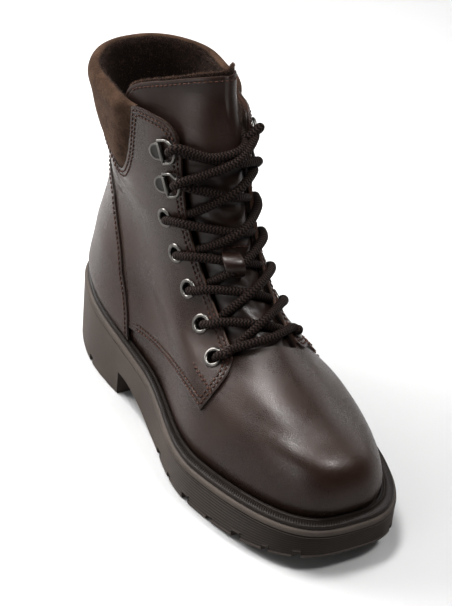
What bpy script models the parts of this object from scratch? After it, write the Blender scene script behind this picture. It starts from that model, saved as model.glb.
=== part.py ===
import math
import bpy
import bmesh
import numpy as np
from mathutils import Matrix

# Right ankle boot, toe to +X, inner side to +Y, standing on the floor.
# Sizes are millimetres; x in the tables runs from the heel end of the sole.
MM = 0.001
LENGTH = 288.0
WALL = 2.4
SKIN = 1.5
GAP = 0.4
LAP = 1.1
SIDE_SHIFT = 10.17
WELT_HEIGHT = 3.1
RIDGE_DROP = 6.0
HEEL_BREAST = 94.0
ARCH_END = 142.0
ARCH_RISE = 15.5
SPRING_START = 215.0
TOE_SPRING = 11.8
RIB_COUNT = 5
RIB_DEPTH = 0.55
EYELET_BORE = 3.3
EYELET_FLANGE = 5.5
TUBE_WALL = 0.8
LACE_RADIUS = 2.6
RING_WIRE = 1.0
TONGUE_THICK = 3.0
STRAP_THICK = 1.2
STRAP_ARCH = 10.4
STRAP_HALF = 0.15
STRAP_SPAN = 0.078
THROAT_LOW = 0.44

# one row per section of the last, from the sole (rise 0) to the collar (rise 1)
RING_COLUMNS = ("rise", "front_x", "front_z", "back_x", "back_z", "outer_heel", "outer_waist",
                "outer_ball", "inner_heel", "inner_waist", "inner_ball", "toe_shift",
                "front_power", "back_power")
RINGS = (
    (0.00, 278, 32, 8, 43, 35, 36, 49, 33, 29, 47, 14, 0.67, 0.72),
    (0.08, 281, 41, 5, 53, 36.5, 37.5, 50.5, 34, 31, 48, 14, 0.69, 0.74),
    (0.16, 278, 53, 5, 64, 35.5, 36, 48, 33, 31, 43, 13.5, 0.75, 0.78),
    (0.25, 267, 64, 6, 75, 33.5, 33, 42.5, 32, 30, 35.5, 11.5, 0.82, 0.82),
    (0.34, 245, 73, 7, 86, 31, 31, 37, 30, 29, 30, 9, 0.90, 0.85),
    (0.43, 217, 82, 10.5, 98, 28, 30, 32, 28, 29, 26.5, 6.5, 0.95, 0.85),
    (0.52, 191, 95, 14.5, 112, 25, 28.5, 28.5, 26, 29, 24, 4.5, 0.98, 0.85),
    (0.62, 169, 114, 16.5, 128, 23.5, 28.5, 27, 25, 29.5, 24, 2.5, 0.94, 0.85),
    (0.72, 155, 135, 15, 145, 26, 31.5, 28, 26, 31, 24, 1, 0.90, 0.85),
    (0.82, 147.5, 155, 12, 162, 29, 34.5, 30, 28.5, 33, 23.5, 0, 0.87, 0.85),
    (0.91, 143.5, 173, 10, 177.5, 31, 36.5, 32, 31, 34.5, 23, 0, 0.85, 0.85),
    (1.00, 141, 190, 7.5, 193, 34, 39, 33.5, 33, 36, 23.5, 0, 0.85, 0.85))
STATIONS = (("heel", 0.16), ("waist", 0.42), ("ball", 0.72))
SOLE_PLAN = {"front_x": 288, "front_z": 0, "back_x": 0, "back_z": 0, "outer_heel": 41,
             "outer_waist": 43.5, "outer_ball": 58, "inner_heel": 39, "inner_waist": 36.5,
             "inner_ball": 56, "toe_shift": 14.5, "front_power": 0.62, "back_power": 0.74}
SOLE_TOP = ((0, 48.5), (50, 48.5), (85, 43.5), (110, 38), (150, 30.5), (200, 28), (250, 30),
            (288, 32.5))
# throat edges: rise, then how far each edge lies from the front centre line, in radians
THROAT = ((0.00, 0.64, 0.62), (0.44, 0.64, 0.62), (0.53, 0.60, 0.60), (0.62, 0.635, 0.62),
          (0.74, 0.71, 0.66), (0.86, 0.685, 0.66), (1.06, 0.685, 0.66))
# top edge of the upper: angle from the back centre line, rise
TOP_EDGE = ((0.00, 1.00), (1.66, 1.00), (1.95, 1.03), (2.22, 1.03), (2.38, 1.01), (2.47, 0.965),
            (2.80, 0.965))
# quarter: its upper border and its lower border, front to back, as angle from the back and rise
QUARTER = ((2.456, 0.960, 1.995, 0.185), (2.36, 1.005, 1.90, 0.190), (2.10, 1.025, 1.78, 0.192),
           (1.715, 0.995, 1.64, 0.178), (1.63, 0.900, 1.48, 0.152), (1.50, 0.785, 1.33, 0.128),
           (1.345, 0.702, 1.21, 0.092), (1.17, 0.718, 1.125, 0.300), (1.00, 0.740, 1.10, 0.440),
           (0.75, 0.770, 0.95, 0.585), (0.40, 0.785, 0.50, 0.660), (0.02, 0.790, 0.02, 0.675))
# front border of the quarter below the lace facing: share of the border, angle, rise
QUARTER_TOE = ((0.72, 2.50, 0.445), (0.78, 2.42, 0.40), (0.88, 2.17, 0.30), (1.00, 1.995, 0.185))
# heel counter: its front border as rise and angle, its top as share across and rise
COUNTER_SIDE = ((0.045, 1.185), (0.092, 1.185), (0.30, 1.105), (0.44, 1.078), (0.562, 0.925))
COUNTER_TOP = ((0.00, 0.668), (0.53, 0.652), (0.80, 0.612), (1.00, 0.562))
# front border of the collar: rise, angle from the back
COLLAR_FRONT = ((0.70, 1.30), (0.79, 1.46), (0.90, 1.59), (1.00, 1.67), (1.05, 1.69))
# lower border of the collar: share of its half round, rise
COLLAR_LOW = ((0.00, 0.797), (0.40, 0.792), (0.62, 0.763), (0.80, 0.734), (0.92, 0.724),
              (1.00, 0.746))
# collar roll: rise above the rim (or share of the outer face), distance from the upper's outside
COLLAR_ROLL = ((1.012, 4.2), (1.028, 2.0), (1.030, -1.2), (1.018, -4.4), (0.975, -5.6),
               (0.925, -4.2), (0.925, -2.8), (1.008, -2.8), (1.008, 0.4))
# outer face of the collar: share of its height, distance from the upper's outside
COLLAR_FACE = ((0.00, 1.6), (0.10, 3.0), (0.35, 4.4), (0.75, 4.8))
# half width of the tongue: rise, angle from the front
TONGUE_SIDE = ((0.42, 0.66), (0.52, 0.80), (0.66, 0.98), (0.80, 1.12), (0.95, 1.26), (1.14, 1.34))
# eyelets and ring plates: rise, angle from the front
EYELETS = ((0.398, 0.936), (0.478, 0.950), (0.556, 0.985), (0.637, 1.03), (0.726, 1.06))
RING_PLATES = ((0.842, 0.955), (0.942, 0.975))
INNER_RISE = 0.018
# how far a strand climbs at the centre line: rise, extra rise
BOW = ((0.40, 0.062), (0.55, 0.048), (0.64, 0.037), (0.73, 0.027), (0.84, 0.017), (1.00, 0.010))
THROAT_BOW = 0.06
KEEPER_ROW = 2
KEEPER_ANGLE = -0.10
KEEPER_RISE = 0.656
# lug notches along the sole: x from the heel end, width along the edge, depth up, depth inward
LUGS = ((22, 5, 4, 9), (58, 5, 4, 9), (160, 6, 4, 11), (181, 4, 3, 6), (203, 6, 4, 12),
        (224, 4, 3, 6), (245, 6, 4, 12), (264, 4, 3, 6), (279, 5, 4, 10))


def hermite(table, at):
    # smooth curve through the rows, straight on past the last one
    table = np.asarray(table, float)
    s = table[:, 0]
    v = table[:, 1:]
    at = np.asarray(at, float)
    h = np.diff(s)
    slope = np.diff(v, axis=0) / h[:, None]
    weight = (h[1:] / (h[1:] + h[:-1]))[:, None]
    tangent = np.vstack([slope[:1], slope[:-1] * weight + slope[1:] * (1 - weight), slope[-1:]])
    inside = np.clip(at, s[0], s[-1])
    i = np.clip(np.searchsorted(s, inside, side="right") - 1, 0, len(h) - 1)
    q = ((inside - s[i]) / h[i])[..., None]
    span = h[i][..., None]
    beyond = (at - inside)[..., None] * tangent[-1]
    return ((1 + 2 * q) * (1 - q) ** 2 * v[i] + q * (1 - q) ** 2 * span * tangent[i] + beyond
            + q * q * (3 - 2 * q) * v[i + 1] + q * q * (q - 1) * span * tangent[i + 1])


def lookup(table, at, column=1):
    table = np.asarray(table, float)
    return np.interp(at, table[:, 0], table[:, column])


def smooth(x):
    x = np.clip(x, 0, 1)
    return x * x * (3 - 2 * x)


def section(c, turn):
    share = (1 - np.cos(turn)) / 2

    def power(at):
        return c["back_power"] + (c["front_power"] - c["back_power"]) * smooth(at)

    def half(side):
        k = [c[f"{side}_{name}"] / math.sin(math.acos(1 - 2 * at)) ** power(at) for name, at in STATIONS]
        at = [place for name, place in STATIONS]
        return (k[0] + (k[1] - k[0]) * smooth((share - at[0]) / (at[1] - at[0]))
                + (k[2] - k[1]) * smooth((share - at[1]) / (at[2] - at[1])))

    width = np.where(turn < 0, -half("outer"), half("inner"))
    x = c["back_x"] + (c["front_x"] - c["back_x"]) * share - LENGTH / 2
    y = width * np.abs(np.sin(turn)) ** power(share) + c["toe_shift"] * smooth(share) - SIDE_SHIFT
    z = c["back_z"] + (c["front_z"] - c["back_z"]) * share
    return np.stack([x, y, z], -1)


def sole_top(x):
    return hermite(SOLE_TOP, np.clip(x + LENGTH / 2, 0, LENGTH))[..., 0]


def sole_under(x):
    along = x + LENGTH / 2
    arch = ARCH_RISE * (1 - smooth((along - HEEL_BREAST) / (ARCH_END - HEEL_BREAST)))
    spring = TOE_SPRING * (np.maximum(along - SPRING_START, 0) / (LENGTH - SPRING_START)) ** 2
    return np.where(along > HEEL_BREAST + 0.3, arch, 0) + spring


def surface(turn, rise):
    turn = (turn + math.pi) % (2 * math.pi) - math.pi
    rows = hermite(RINGS, np.maximum(rise, 0))
    c = {name: rows[..., i] for i, name in enumerate(RING_COLUMNS[1:])}
    p = section(c, turn)
    flat = section({**c, "back_z": RINGS[0][4], "front_z": RINGS[0][2]}, turn)[..., 2]
    seat = sole_top(p[..., 0]) - WELT_HEIGHT + GAP
    p[..., 2] += (seat - flat) * (1 - smooth(rise / 0.22))
    return p


def form(turn, rise, off):
    turn, rise, off = np.broadcast_arrays(np.float64(turn), np.float64(rise), np.float64(off))
    e = 1e-4
    along = surface(turn + e, rise) - surface(turn - e, rise)
    up = surface(turn, rise + e) - surface(turn, np.maximum(rise - e, 0))
    normal = np.cross(up, along)
    normal /= np.linalg.norm(normal, axis=-1, keepdims=True)
    return surface(turn, rise) + normal * off[..., None]


def plan(turn, off):
    e = 1e-4
    along = section(SOLE_PLAN, turn + e) - section(SOLE_PLAN, turn - e)
    out = np.stack([-along[..., 1], along[..., 0]], -1)
    out /= np.linalg.norm(out, axis=-1, keepdims=True)
    return section(SOLE_PLAN, turn)[..., :2] + out * np.asarray(off, float)[..., None]


def throat(rise):
    return math.pi - lookup(THROAT, rise, 1), math.pi - lookup(THROAT, rise, 2)


def resample(table, count):
    table = np.asarray(table, float)
    step = np.hypot(np.diff(table[:, 0]) * 45, np.diff(table[:, 1]) * 190)
    at = np.concatenate([[0], np.cumsum(step)]) / step.sum()
    t = np.linspace(0, 1, count)
    return np.stack([np.interp(t, at, table[:, i]) for i in range(table.shape[1])], -1)


for old in list(bpy.data.objects):
    bpy.data.objects.remove(old)
boot = bpy.data.collections.new("leather_boot")
cutters = bpy.data.collections.new("cutters")
for group in (boot, cutters):
    bpy.context.scene.collection.children.link(group)

FINISHES = {"leather": ((0.055, 0.036, 0.028), 0.42, 0.0), "suede": ((0.085, 0.052, 0.038), 0.95, 0.0),
            "rubber": ((0.045, 0.040, 0.036), 0.75, 0.0), "metal": ((0.42, 0.42, 0.41), 0.30, 1.0),
            "cord": ((0.030, 0.021, 0.018), 0.85, 0.0), "board": ((0.16, 0.12, 0.09), 0.90, 0.0)}


def material(name, finish):
    colour, roughness, metallic = FINISHES[finish]
    made = bpy.data.materials.new(name)
    made.use_nodes = True
    shader = made.node_tree.nodes["Principled BSDF"]
    shader.inputs["Base Color"].default_value = (*colour, 1)
    shader.inputs["Roughness"].default_value = roughness
    shader.inputs["Metallic"].default_value = metallic
    return made


def add(name, mesh, finish):
    thing = bpy.data.objects.new(name, mesh)
    if finish is None:
        cutters.objects.link(thing)
        thing.hide_render = True
        thing.display_type = "WIRE"
    else:
        boot.objects.link(thing)
        mesh.materials.append(material(name, finish))
    return thing


def grid_mesh(name, points, keep=None, closed=False):
    rows, cols = points.shape[:2]
    wide = cols if closed else cols - 1
    faces = [(i * cols + j, (i + 1) * cols + j, (i + 1) * cols + (j + 1) % cols, i * cols + (j + 1) % cols)
             for i in range(rows - 1) for j in range(wide) if keep is None or keep(i, j)]
    mesh = bpy.data.meshes.new(name)
    mesh.from_pydata((points.reshape(-1, 3) * MM).tolist(), [], faces)
    bm = bmesh.new()
    bm.from_mesh(mesh)
    bmesh.ops.delete(bm, geom=[v for v in bm.verts if not v.link_faces], context="VERTS")
    bm.to_mesh(mesh)
    bm.free()
    return mesh


def shell(name, points, thick, finish, keep=None, closed=False):
    thing = add(name, grid_mesh(name, points, keep, closed), finish)
    wall = thing.modifiers.new("wall", "SOLIDIFY")
    wall.thickness = thick * MM
    wall.offset = -1
    return thing


def loft(name, loops, finish, ladder):
    # closed loops stacked into a side wall; the ends are closed across the piece or by one face
    mesh = grid_mesh(name, loops, closed=True)
    bm = bmesh.new()
    bm.from_mesh(mesh)
    bm.verts.ensure_lookup_table()
    count = loops.shape[1]
    for first in (0, len(bm.verts) - count):
        ring = [bm.verts[first + k] for k in range(count)]
        if ladder:
            for k in range(count // 2):
                four = [ring[k], ring[k + 1], ring[(-k - 1) % count], ring[-k % count]]
                bm.faces.new(list(dict.fromkeys(four)))
        else:
            bm.faces.new(ring)
    bmesh.ops.recalc_face_normals(bm, faces=bm.faces)
    bm.to_mesh(mesh)
    bm.free()
    return add(name, mesh, finish)


def sweep(name, sections, finish):
    # open row of closed profiles, capped at both ends
    mesh = grid_mesh(name, sections, closed=True)
    bm = bmesh.new()
    bm.from_mesh(mesh)
    bm.verts.ensure_lookup_table()
    count = sections.shape[1]
    for first in (0, len(bm.verts) - count):
        bm.faces.new([bm.verts[first + k] for k in range(count)])
    bmesh.ops.recalc_face_normals(bm, faces=bm.faces)
    bm.to_mesh(mesh)
    bm.free()
    return add(name, mesh, finish)


def boolean(thing, tool, kind):
    step = thing.modifiers.new(kind.lower(), "BOOLEAN")
    step.object = tool
    step.operation = kind
    step.solver = "EXACT"


def frame_at(turn, rise, off, toward):
    # local x toward the throat, y up the boot, z out of the leather
    p = form(turn, rise, off)
    z = form(turn, rise, off + 1) - p
    x = form(turn + 0.01 * toward, rise, off) - p
    x -= z * x.dot(z)
    x /= np.linalg.norm(x)
    y = np.cross(z, x)
    m = np.eye(4)
    m[:3] = np.column_stack([x, y, z, p * MM])
    return Matrix(m.tolist())


def solid_of(name, curve, at=None):
    temp = bpy.data.objects.new(name, curve)
    mesh = bpy.data.meshes.new_from_object(temp)
    bpy.data.objects.remove(temp)
    bm = bmesh.new()
    bm.from_mesh(mesh)
    bmesh.ops.remove_doubles(bm, verts=bm.verts, dist=1e-6)
    if at is not None:
        bmesh.ops.transform(bm, matrix=at, verts=bm.verts)
    bm.to_mesh(mesh)
    bm.free()
    mesh.materials.clear()
    return mesh


def wire(name, points, radius, cyclic=False, at=None):
    curve = bpy.data.curves.new(name, "CURVE")
    curve.dimensions = "3D"
    curve.bevel_depth = radius * MM
    curve.bevel_resolution = 1
    curve.use_fill_caps = not cyclic
    spline = curve.splines.new("POLY")
    spline.points.add(len(points) - 1)
    spline.points.foreach_set("co", np.column_stack([np.array(points) * MM, np.ones(len(points))]).ravel())
    spline.use_cyclic_u = cyclic
    return solid_of(name, curve, at)


# outsole: side profile lofted round the plan, closed across above and below
breast = [math.acos(1 - 2 * (HEEL_BREAST + d) / LENGTH) for d in (0, 0.6)]
side = [t for t in np.linspace(0, math.pi, 26) if min(abs(t - b) for b in breast) > 0.05] + breast
side = np.array(sorted(side))
round_sole = np.concatenate([side, -side[-2:0:-1]])
spine = section(SOLE_PLAN, round_sole)[:, 0]
top = sole_top(spine)
under = sole_under(spine)
ridge = top - RIDGE_DROP
forefoot = smooth((spine + LENGTH / 2 - 120) / 60)
zero = np.zeros_like(top)
levels = [(zero - 1.2, under), (zero, under + 1.2)]
for k in range(2 * RIB_COUNT):
    depth = -RIB_DEPTH * forefoot if k % 2 == 0 else zero
    levels.append((depth, under + 1.2 + (ridge - under - 2.4) * (k + 1) / (2 * RIB_COUNT + 1)))
levels += [(zero + 0.1, ridge - 1.1), (zero, ridge), (zero - 0.5, ridge + 0.9),
           (zero - 3.4, ridge + RIDGE_DROP - WELT_HEIGHT)]
loops = np.stack([np.column_stack([plan(round_sole, off), z]) for off, z in levels])
outsole = loft("outsole", loops, "rubber", True)

notches = []
for x, wide, tall, inward in LUGS:
    for hand in (-1, 1):
        turn = np.float64(hand * math.acos(1 - 2 * x / LENGTH))
        spot = plan(turn, 0.0)
        out = plan(turn, 1.0) - spot
        floor = float(sole_under(spot[0]))
        along = np.array([-out[1], out[0]])
        block = []
        corners = ((6, 1.0, -5), (-inward, 0.55, -5), (6, 0.55, tall), (-inward, 0.3, tall - 1))
        for reach, spread, z in corners:
            for end in (-1, 1):
                corner = spot + out * reach + along * end * wide * spread * 0.8
                block.append((*corner, floor + z))
        notches.append(block)
cutter_mesh = bpy.data.meshes.new("lug_notches")
box_faces = ((0, 1, 3, 2), (4, 6, 7, 5), (0, 4, 5, 1), (2, 3, 7, 6), (0, 2, 6, 4), (1, 5, 7, 3))
cutter_mesh.from_pydata((np.array(notches).reshape(-1, 3) * MM).tolist(), [],
                        [[8 * k + i for i in f] for k in range(len(notches)) for f in box_faces])
bm = bmesh.new()
bm.from_mesh(cutter_mesh)
bmesh.ops.recalc_face_normals(bm, faces=bm.faces)
bm.to_mesh(cutter_mesh)
bm.free()
boolean(outsole, add("lug_notches", cutter_mesh, None), "DIFFERENCE")

# welt: profile between the upper's foot and the shoulder of the sole
turn = np.linspace(-math.pi, math.pi, 44, endpoint=False)
foot = np.stack([form(turn, rise, GAP + 0.15)[:, :2] for rise in (0.0, 0.015, 0.03)])
centre = foot.mean(axis=(0, 1))
reach = np.linalg.norm(foot - centre, axis=-1)
inner_edge = np.take_along_axis(foot, reach.argmax(0)[None, :, None], 0)[0]
outer_edge = plan(turn, np.full_like(turn, -3.6))
WELT_PROFILE = ((0, 0), (0, 2.4), (0.10, 3.3), (0.30, 3.3), (0.38, 2.5), (0.9, 2.2), (1, 1.4), (1, 0))
rows = []
for share, height in WELT_PROFILE:
    xy = inner_edge + (outer_edge - inner_edge) * share
    rows.append(np.column_stack([xy, sole_top(xy[:, 0]) - WELT_HEIGHT + GAP + height]))
rows.append(rows[0])
welt_mesh = grid_mesh("welt", np.stack(rows), closed=True)
bm = bmesh.new()
bm.from_mesh(welt_mesh)
bmesh.ops.remove_doubles(bm, verts=bm.verts, dist=1e-6)
bmesh.ops.recalc_face_normals(bm, faces=bm.faces)
bm.to_mesh(welt_mesh)
bm.free()
add("welt", welt_mesh, "rubber")

# insole: board inside the foot of the upper
board = np.linspace(0, math.pi, 21)
board = np.concatenate([board, -board[-2:0:-1]])
edge = form(board, 0.0, -WALL - 0.9)
low = sole_top(edge[:, 0]) - WELT_HEIGHT + GAP
loft("insole", np.stack([np.column_stack([edge[:, :2], low + h]) for h in (0, 3.4)]), "board", True)

# upper: rings of the last, slit at the throat above the vamp
low_rows = np.array((0, 0.04, 0.09, 0.15, 0.22, 0.29, 0.37, THROAT_LOW))
high_rows = np.linspace(0, 1, 10)[1:]
ROUND, SLIT = 30, 6
back_share = np.linspace(0, 1, ROUND + 1)[None, :]
slit_share = np.linspace(0, 1, SLIT + 1)[None, 1:-1]


def ring_turns(rise):
    outer, inner = throat(rise)
    return np.hstack([-outer + (outer + inner) * back_share,
                      inner + (2 * math.pi - outer - inner) * slit_share])


turns = np.vstack([ring_turns(r) for r in low_rows])
rises = np.repeat(low_rows[:, None], turns.shape[1], 1)
rises[-1, ROUND + 1:] += THROAT_BOW * np.sin(math.pi * slit_share[0])
crest = lookup(TOP_EDGE, np.abs((ring_turns(1.0) + math.pi) % (2 * math.pi) - math.pi))
high = THROAT_LOW + high_rows[:, None] * (crest - THROAT_LOW)
turns = np.vstack([turns] + [ring_turns(THROAT_LOW + v * (1 - THROAT_LOW)) for v in high_rows])
rises = np.vstack([rises, high])
upper = shell("upper", form(turns, rises, 0.0), WALL, "leather", closed=True,
              keep=lambda i, j: i < len(low_rows) - 1 or j < ROUND)

# holes of the eyelets, through quarter and upper
places = {}
for name, hand in (("outer", -1), ("inner", 1)):
    for k, (rise, away) in enumerate(EYELETS):
        places[name, k] = (hand * (math.pi - away), rise + (INNER_RISE if hand > 0 else 0))
bore_mesh = bpy.data.meshes.new("eyelet_bores")
bore_radius = (EYELET_BORE + TUBE_WALL + GAP) * MM
bm = bmesh.new()
for (name, k), (t, r) in places.items():
    bmesh.ops.create_cone(bm, cap_ends=True, segments=8, radius1=bore_radius, radius2=bore_radius,
                          depth=16 * MM, matrix=frame_at(t, r, 0.0, 1))
bm.to_mesh(bore_mesh)
bm.free()
bore_tool = add("eyelet_bores", bore_mesh, None)
boolean(upper, bore_tool, "DIFFERENCE")

# quarters: a patch ruled between its upper and lower borders, held to the throat at the front
for name, hand in (("outer", -1), ("inner", 1)):
    border = resample(QUARTER, 16)
    down = np.linspace(0, 1, 10)[:, None]
    down = down + 0.05 * np.sin(math.pi * down)
    angle = border[None, :, 0] + (border[:, 2] - border[:, 0])[None, :] * down
    rise = border[None, :, 1] + (border[:, 3] - border[:, 1])[None, :] * down
    q = down[:, 0]
    edge_rise = np.where(q < 0.72, 0.960 + (0.445 - 0.960) * q / 0.72, lookup(QUARTER_TOE, q, 2))
    edge_turn = np.where(q < 0.72, throat(edge_rise)[0 if hand < 0 else 1], lookup(QUARTER_TOE, q, 1))
    hold = (1 - np.linspace(0, 1, 16)[None, :]) ** 3
    angle = angle + (edge_turn - angle[:, 0])[:, None] * hold
    rise = rise + (edge_rise - rise[:, 0])[:, None] * hold
    points = form(hand * angle, rise, LAP + SKIN)
    if hand < 0:
        points = points[::-1]
    else:
        points = points[::-1, ::-1]
    quarter = shell(f"quarter_{name}", points, SKIN, "leather")
    boolean(quarter, bore_tool, "DIFFERENCE")

# heel counter: a thicker skin round the back, bordered by the quarters
across = np.linspace(-1, 1, 15)[None, :]
lift = np.linspace(0, 1, 8)[:, None]
angle = across * lookup(COUNTER_SIDE, 0.045 + (COUNTER_SIDE[-1][0] - 0.045) * lift)
rise = 0.045 + (lookup(COUNTER_TOP, np.abs(across)) - 0.045) * lift
shell("heel_counter", form(angle, rise, LAP + SKIN + 0.5), SKIN + 0.5, "leather")

# collar: suede pad folded over the top edge
across = np.linspace(-1, 1, 23)
loops = []
for s in across:
    bottom = float(lookup(COLLAR_LOW, abs(s)))
    rim = [(bottom + (1.0 - bottom) * v, d) for v, d in COLLAR_FACE]
    ring = rim + list(COLLAR_ROLL) + [(bottom + (1.0 - bottom) * v, 0.5) for v in (0.7, 0.35, 0.02)]
    ring = np.array(ring)
    ends = lookup(COLLAR_FRONT, ring[:, 0])
    taper = 1 - 0.45 * smooth((abs(s) - 0.8) / 0.2)
    out = np.where(ring[:, 1] > 0.5, 0.4 + (ring[:, 1] - 0.4) * taper, ring[:, 1])
    loops.append(form(s * ends, ring[:, 0], out))
sweep("collar", np.stack(loops), "suede")

# tongue: a shell behind the throat, passing over the front centre line
lift = np.linspace(0.42, 1.14, 15)[:, None]
across = np.linspace(-1, 1, 9)[None, :]
drop = 0.035 * np.abs(across) ** 4 * smooth((lift - 0.9) / 0.22)
lean = 19 * smooth((lift - 0.95) / 0.20) * (1 - across ** 2)
tongue_points = form(math.pi - across * lookup(TONGUE_SIDE, lift), lift - drop, -WALL - GAP - lean)
shell("tongue", tongue_points[:, ::-1], TONGUE_THICK, "leather")

# lace keeper: a strap arched over one crossing
arch = np.linspace(0, 1, 9)[:, None]
width = np.linspace(-1, 1, 5)[None, :]
strap_rise = KEEPER_RISE + STRAP_SPAN * (arch - 0.5) + 0 * width
strap_off = -WALL + STRAP_THICK + STRAP_ARCH * np.sin(math.pi * arch) ** 0.4 + 0 * width
strap_points = form(math.pi - KEEPER_ANGLE - STRAP_HALF * width, strap_rise, strap_off)
shell("tongue_loop", strap_points[:, ::-1], STRAP_THICK, "leather")

# eyelets: a flanged tube turned about its axis
FLANGE_BASE = LAP + SKIN + GAP + 0.3
TUBE = ((EYELET_BORE, -3.4), (EYELET_BORE + TUBE_WALL, -3.4), (EYELET_BORE + TUBE_WALL, 0.0),
        (EYELET_FLANGE, 0.0), (EYELET_FLANGE - 0.5, 0.9), (EYELET_BORE + 0.3, 1.1))
for (name, k), (t, r) in places.items():
    bm = bmesh.new()
    verts = [bm.verts.new((x * MM, 0, z * MM)) for x, z in TUBE]
    edges = [bm.edges.new((a, b)) for a, b in zip(verts, verts[1:] + verts[:1])]
    bmesh.ops.spin(bm, geom=verts + edges, cent=(0, 0, 0), axis=(0, 0, 1), angle=2 * math.pi, steps=9)
    bmesh.ops.remove_doubles(bm, verts=bm.verts, dist=1e-6)
    bmesh.ops.recalc_face_normals(bm, faces=bm.faces)
    bmesh.ops.transform(bm, matrix=frame_at(t, r, FLANGE_BASE, 1), verts=bm.verts)
    mesh = bpy.data.meshes.new(f"eyelet_{name}_{k + 1}")
    bm.to_mesh(mesh)
    bm.free()
    add(f"eyelet_{name}_{k + 1}", mesh, "metal")

# ring plates with a bored knuckle, and the D-rings hanging in them
KNUCKLE_X = 4.4
KNUCKLE_Z = 2.0
KNUCKLE_RADIUS = 2.0
PLATE_RADIUS = 5.5
PLATE_THICK = 1.1
pin = Matrix.Translation((KNUCKLE_X * MM, 0, KNUCKLE_Z * MM)) @ Matrix.Rotation(math.pi / 2, 4, "X")
arc = np.linspace(math.pi / 2, 3 * math.pi / 2, 7)
tab = [(PLATE_RADIUS * math.cos(a), PLATE_RADIUS * math.sin(a)) for a in arc]
tab += [(KNUCKLE_X, -PLATE_RADIUS), (KNUCKLE_X, PLATE_RADIUS)]
slab = np.array([[(x, y, z) for x, y in tab] for z in (0, PLATE_THICK)])
bend = np.linspace(-math.pi / 2, math.pi / 2, 5)
bend_x = KNUCKLE_X + 2.2 + 6.2 * np.cos(bend)
bend_z = KNUCKLE_Z + 0.6 * np.cos(bend)
ring_loop = np.vstack([(KNUCKLE_X, -5.8, KNUCKLE_Z),
                       np.column_stack([bend_x, 5.8 * np.sin(bend), bend_z]),
                       (KNUCKLE_X, 5.8, KNUCKLE_Z)])
for name, hand in (("outer", -1), ("inner", 1)):
    for k, (rise, away) in enumerate(RING_PLATES):
        rise += INNER_RISE if hand > 0 else 0
        seat = frame_at(hand * (math.pi - away), rise, LAP + SKIN + GAP, hand)
        plate = sweep(f"ring_plate_{name}_{k + 1}", slab, "metal")
        for label, radius, half in (("knuckle", KNUCKLE_RADIUS, 4.2), ("pin_bore", RING_WIRE + GAP, 7.0)):
            bm = bmesh.new()
            bmesh.ops.create_cone(bm, cap_ends=True, segments=10, radius1=radius * MM,
                                  radius2=radius * MM, depth=2 * half * MM, matrix=pin)
            mesh = bpy.data.meshes.new(f"{label}_{name}_{k + 1}")
            bm.to_mesh(mesh)
            bm.free()
            tool = add(f"{label}_{name}_{k + 1}", mesh, None)
            tool.matrix_world = seat
            boolean(plate, tool, "UNION" if label == "knuckle" else "DIFFERENCE")
        plate.matrix_world = seat
        mesh = wire(f"d_ring_{name}_{k + 1}", ring_loop, RING_WIRE, True, seat)
        add(f"d_ring_{name}_{k + 1}", mesh, "metal")

# lace: a bar over the vamp and the crossings above it; both strands of a crossing are one solid
OVER = LAP + SKIN + GAP + LACE_RADIUS
BED = -WALL - GAP + 0.55 + LACE_RADIUS
away = {"outer": [], "inner": []}
for name in away:
    for k, (rise, angle) in enumerate(EYELETS):
        away[name].append(math.pi - abs(places[name, k][0]))
heights = [rise for rise, angle in EYELETS] + [rise - 0.01 for rise, angle in RING_PLATES]


def strand(name, points):
    points = np.array(points, float)
    fine = np.linspace(0, len(points) - 1, 7)
    p = hermite(np.column_stack([np.arange(len(points)), points]), fine)
    return wire(name, form(math.pi - p[:, 0], p[:, 1], p[:, 2]), LACE_RADIUS)


def bow(rise, angle, edge):
    # strands run straight across, so they climb the last's own rings toward the centre line
    return rise + lookup(BOW, rise) * (1 - (angle / edge) ** 2)


def crossing(name, k):
    strands = []
    ringed = k + 1 >= len(EYELETS)
    for hand, here, there, lift in ((-1, "outer", "inner", 3.2), (1, "inner", "outer", 0.3)):
        r0 = max(heights[k], THROAT_LOW + 0.012) + (INNER_RISE if here == "inner" else 0)
        r1 = heights[k + 1] + (INNER_RISE if there == "inner" else 0)
        edges = dict(zip(("outer", "inner"), (math.pi - t for t in throat(r1))))
        near, far = edges[here], edges[there]
        step = r1 - r0
        leave = 0.28 if k + 1 > len(EYELETS) else 0.15
        path = [(hand * (near - 0.10), bow(r0 + leave * step, near - 0.10, near), BED + 0.3),
                (0.0, bow(r0 + 0.5 * step, 0, near), BED + lift)]
        if k == KEEPER_ROW:
            path[1] = (KEEPER_ANGLE, KEEPER_RISE, BED + lift + 0.75)
        if ringed:
            path += [(-hand * (far - 0.25), bow(r0 + 0.85 * step, far - 0.25, far), BED + 3.0),
                     (-hand * (far - 0.11), r1, OVER - 1.2)]
        else:
            path += [(-hand * (far - 0.08), bow(r0 + 0.80 * step, far - 0.08, far), OVER - 0.2),
                     (-hand * (far + 0.06), r0 + 0.92 * step, OVER + 0.8),
                     (-hand * away[there][k + 1], r1, OVER + 1.7)]
        strands.append(strand(name, path))
    over = add(name, strands[0], "cord")
    boolean(over, add(name + "_under", strands[1], None), "UNION")


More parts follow.
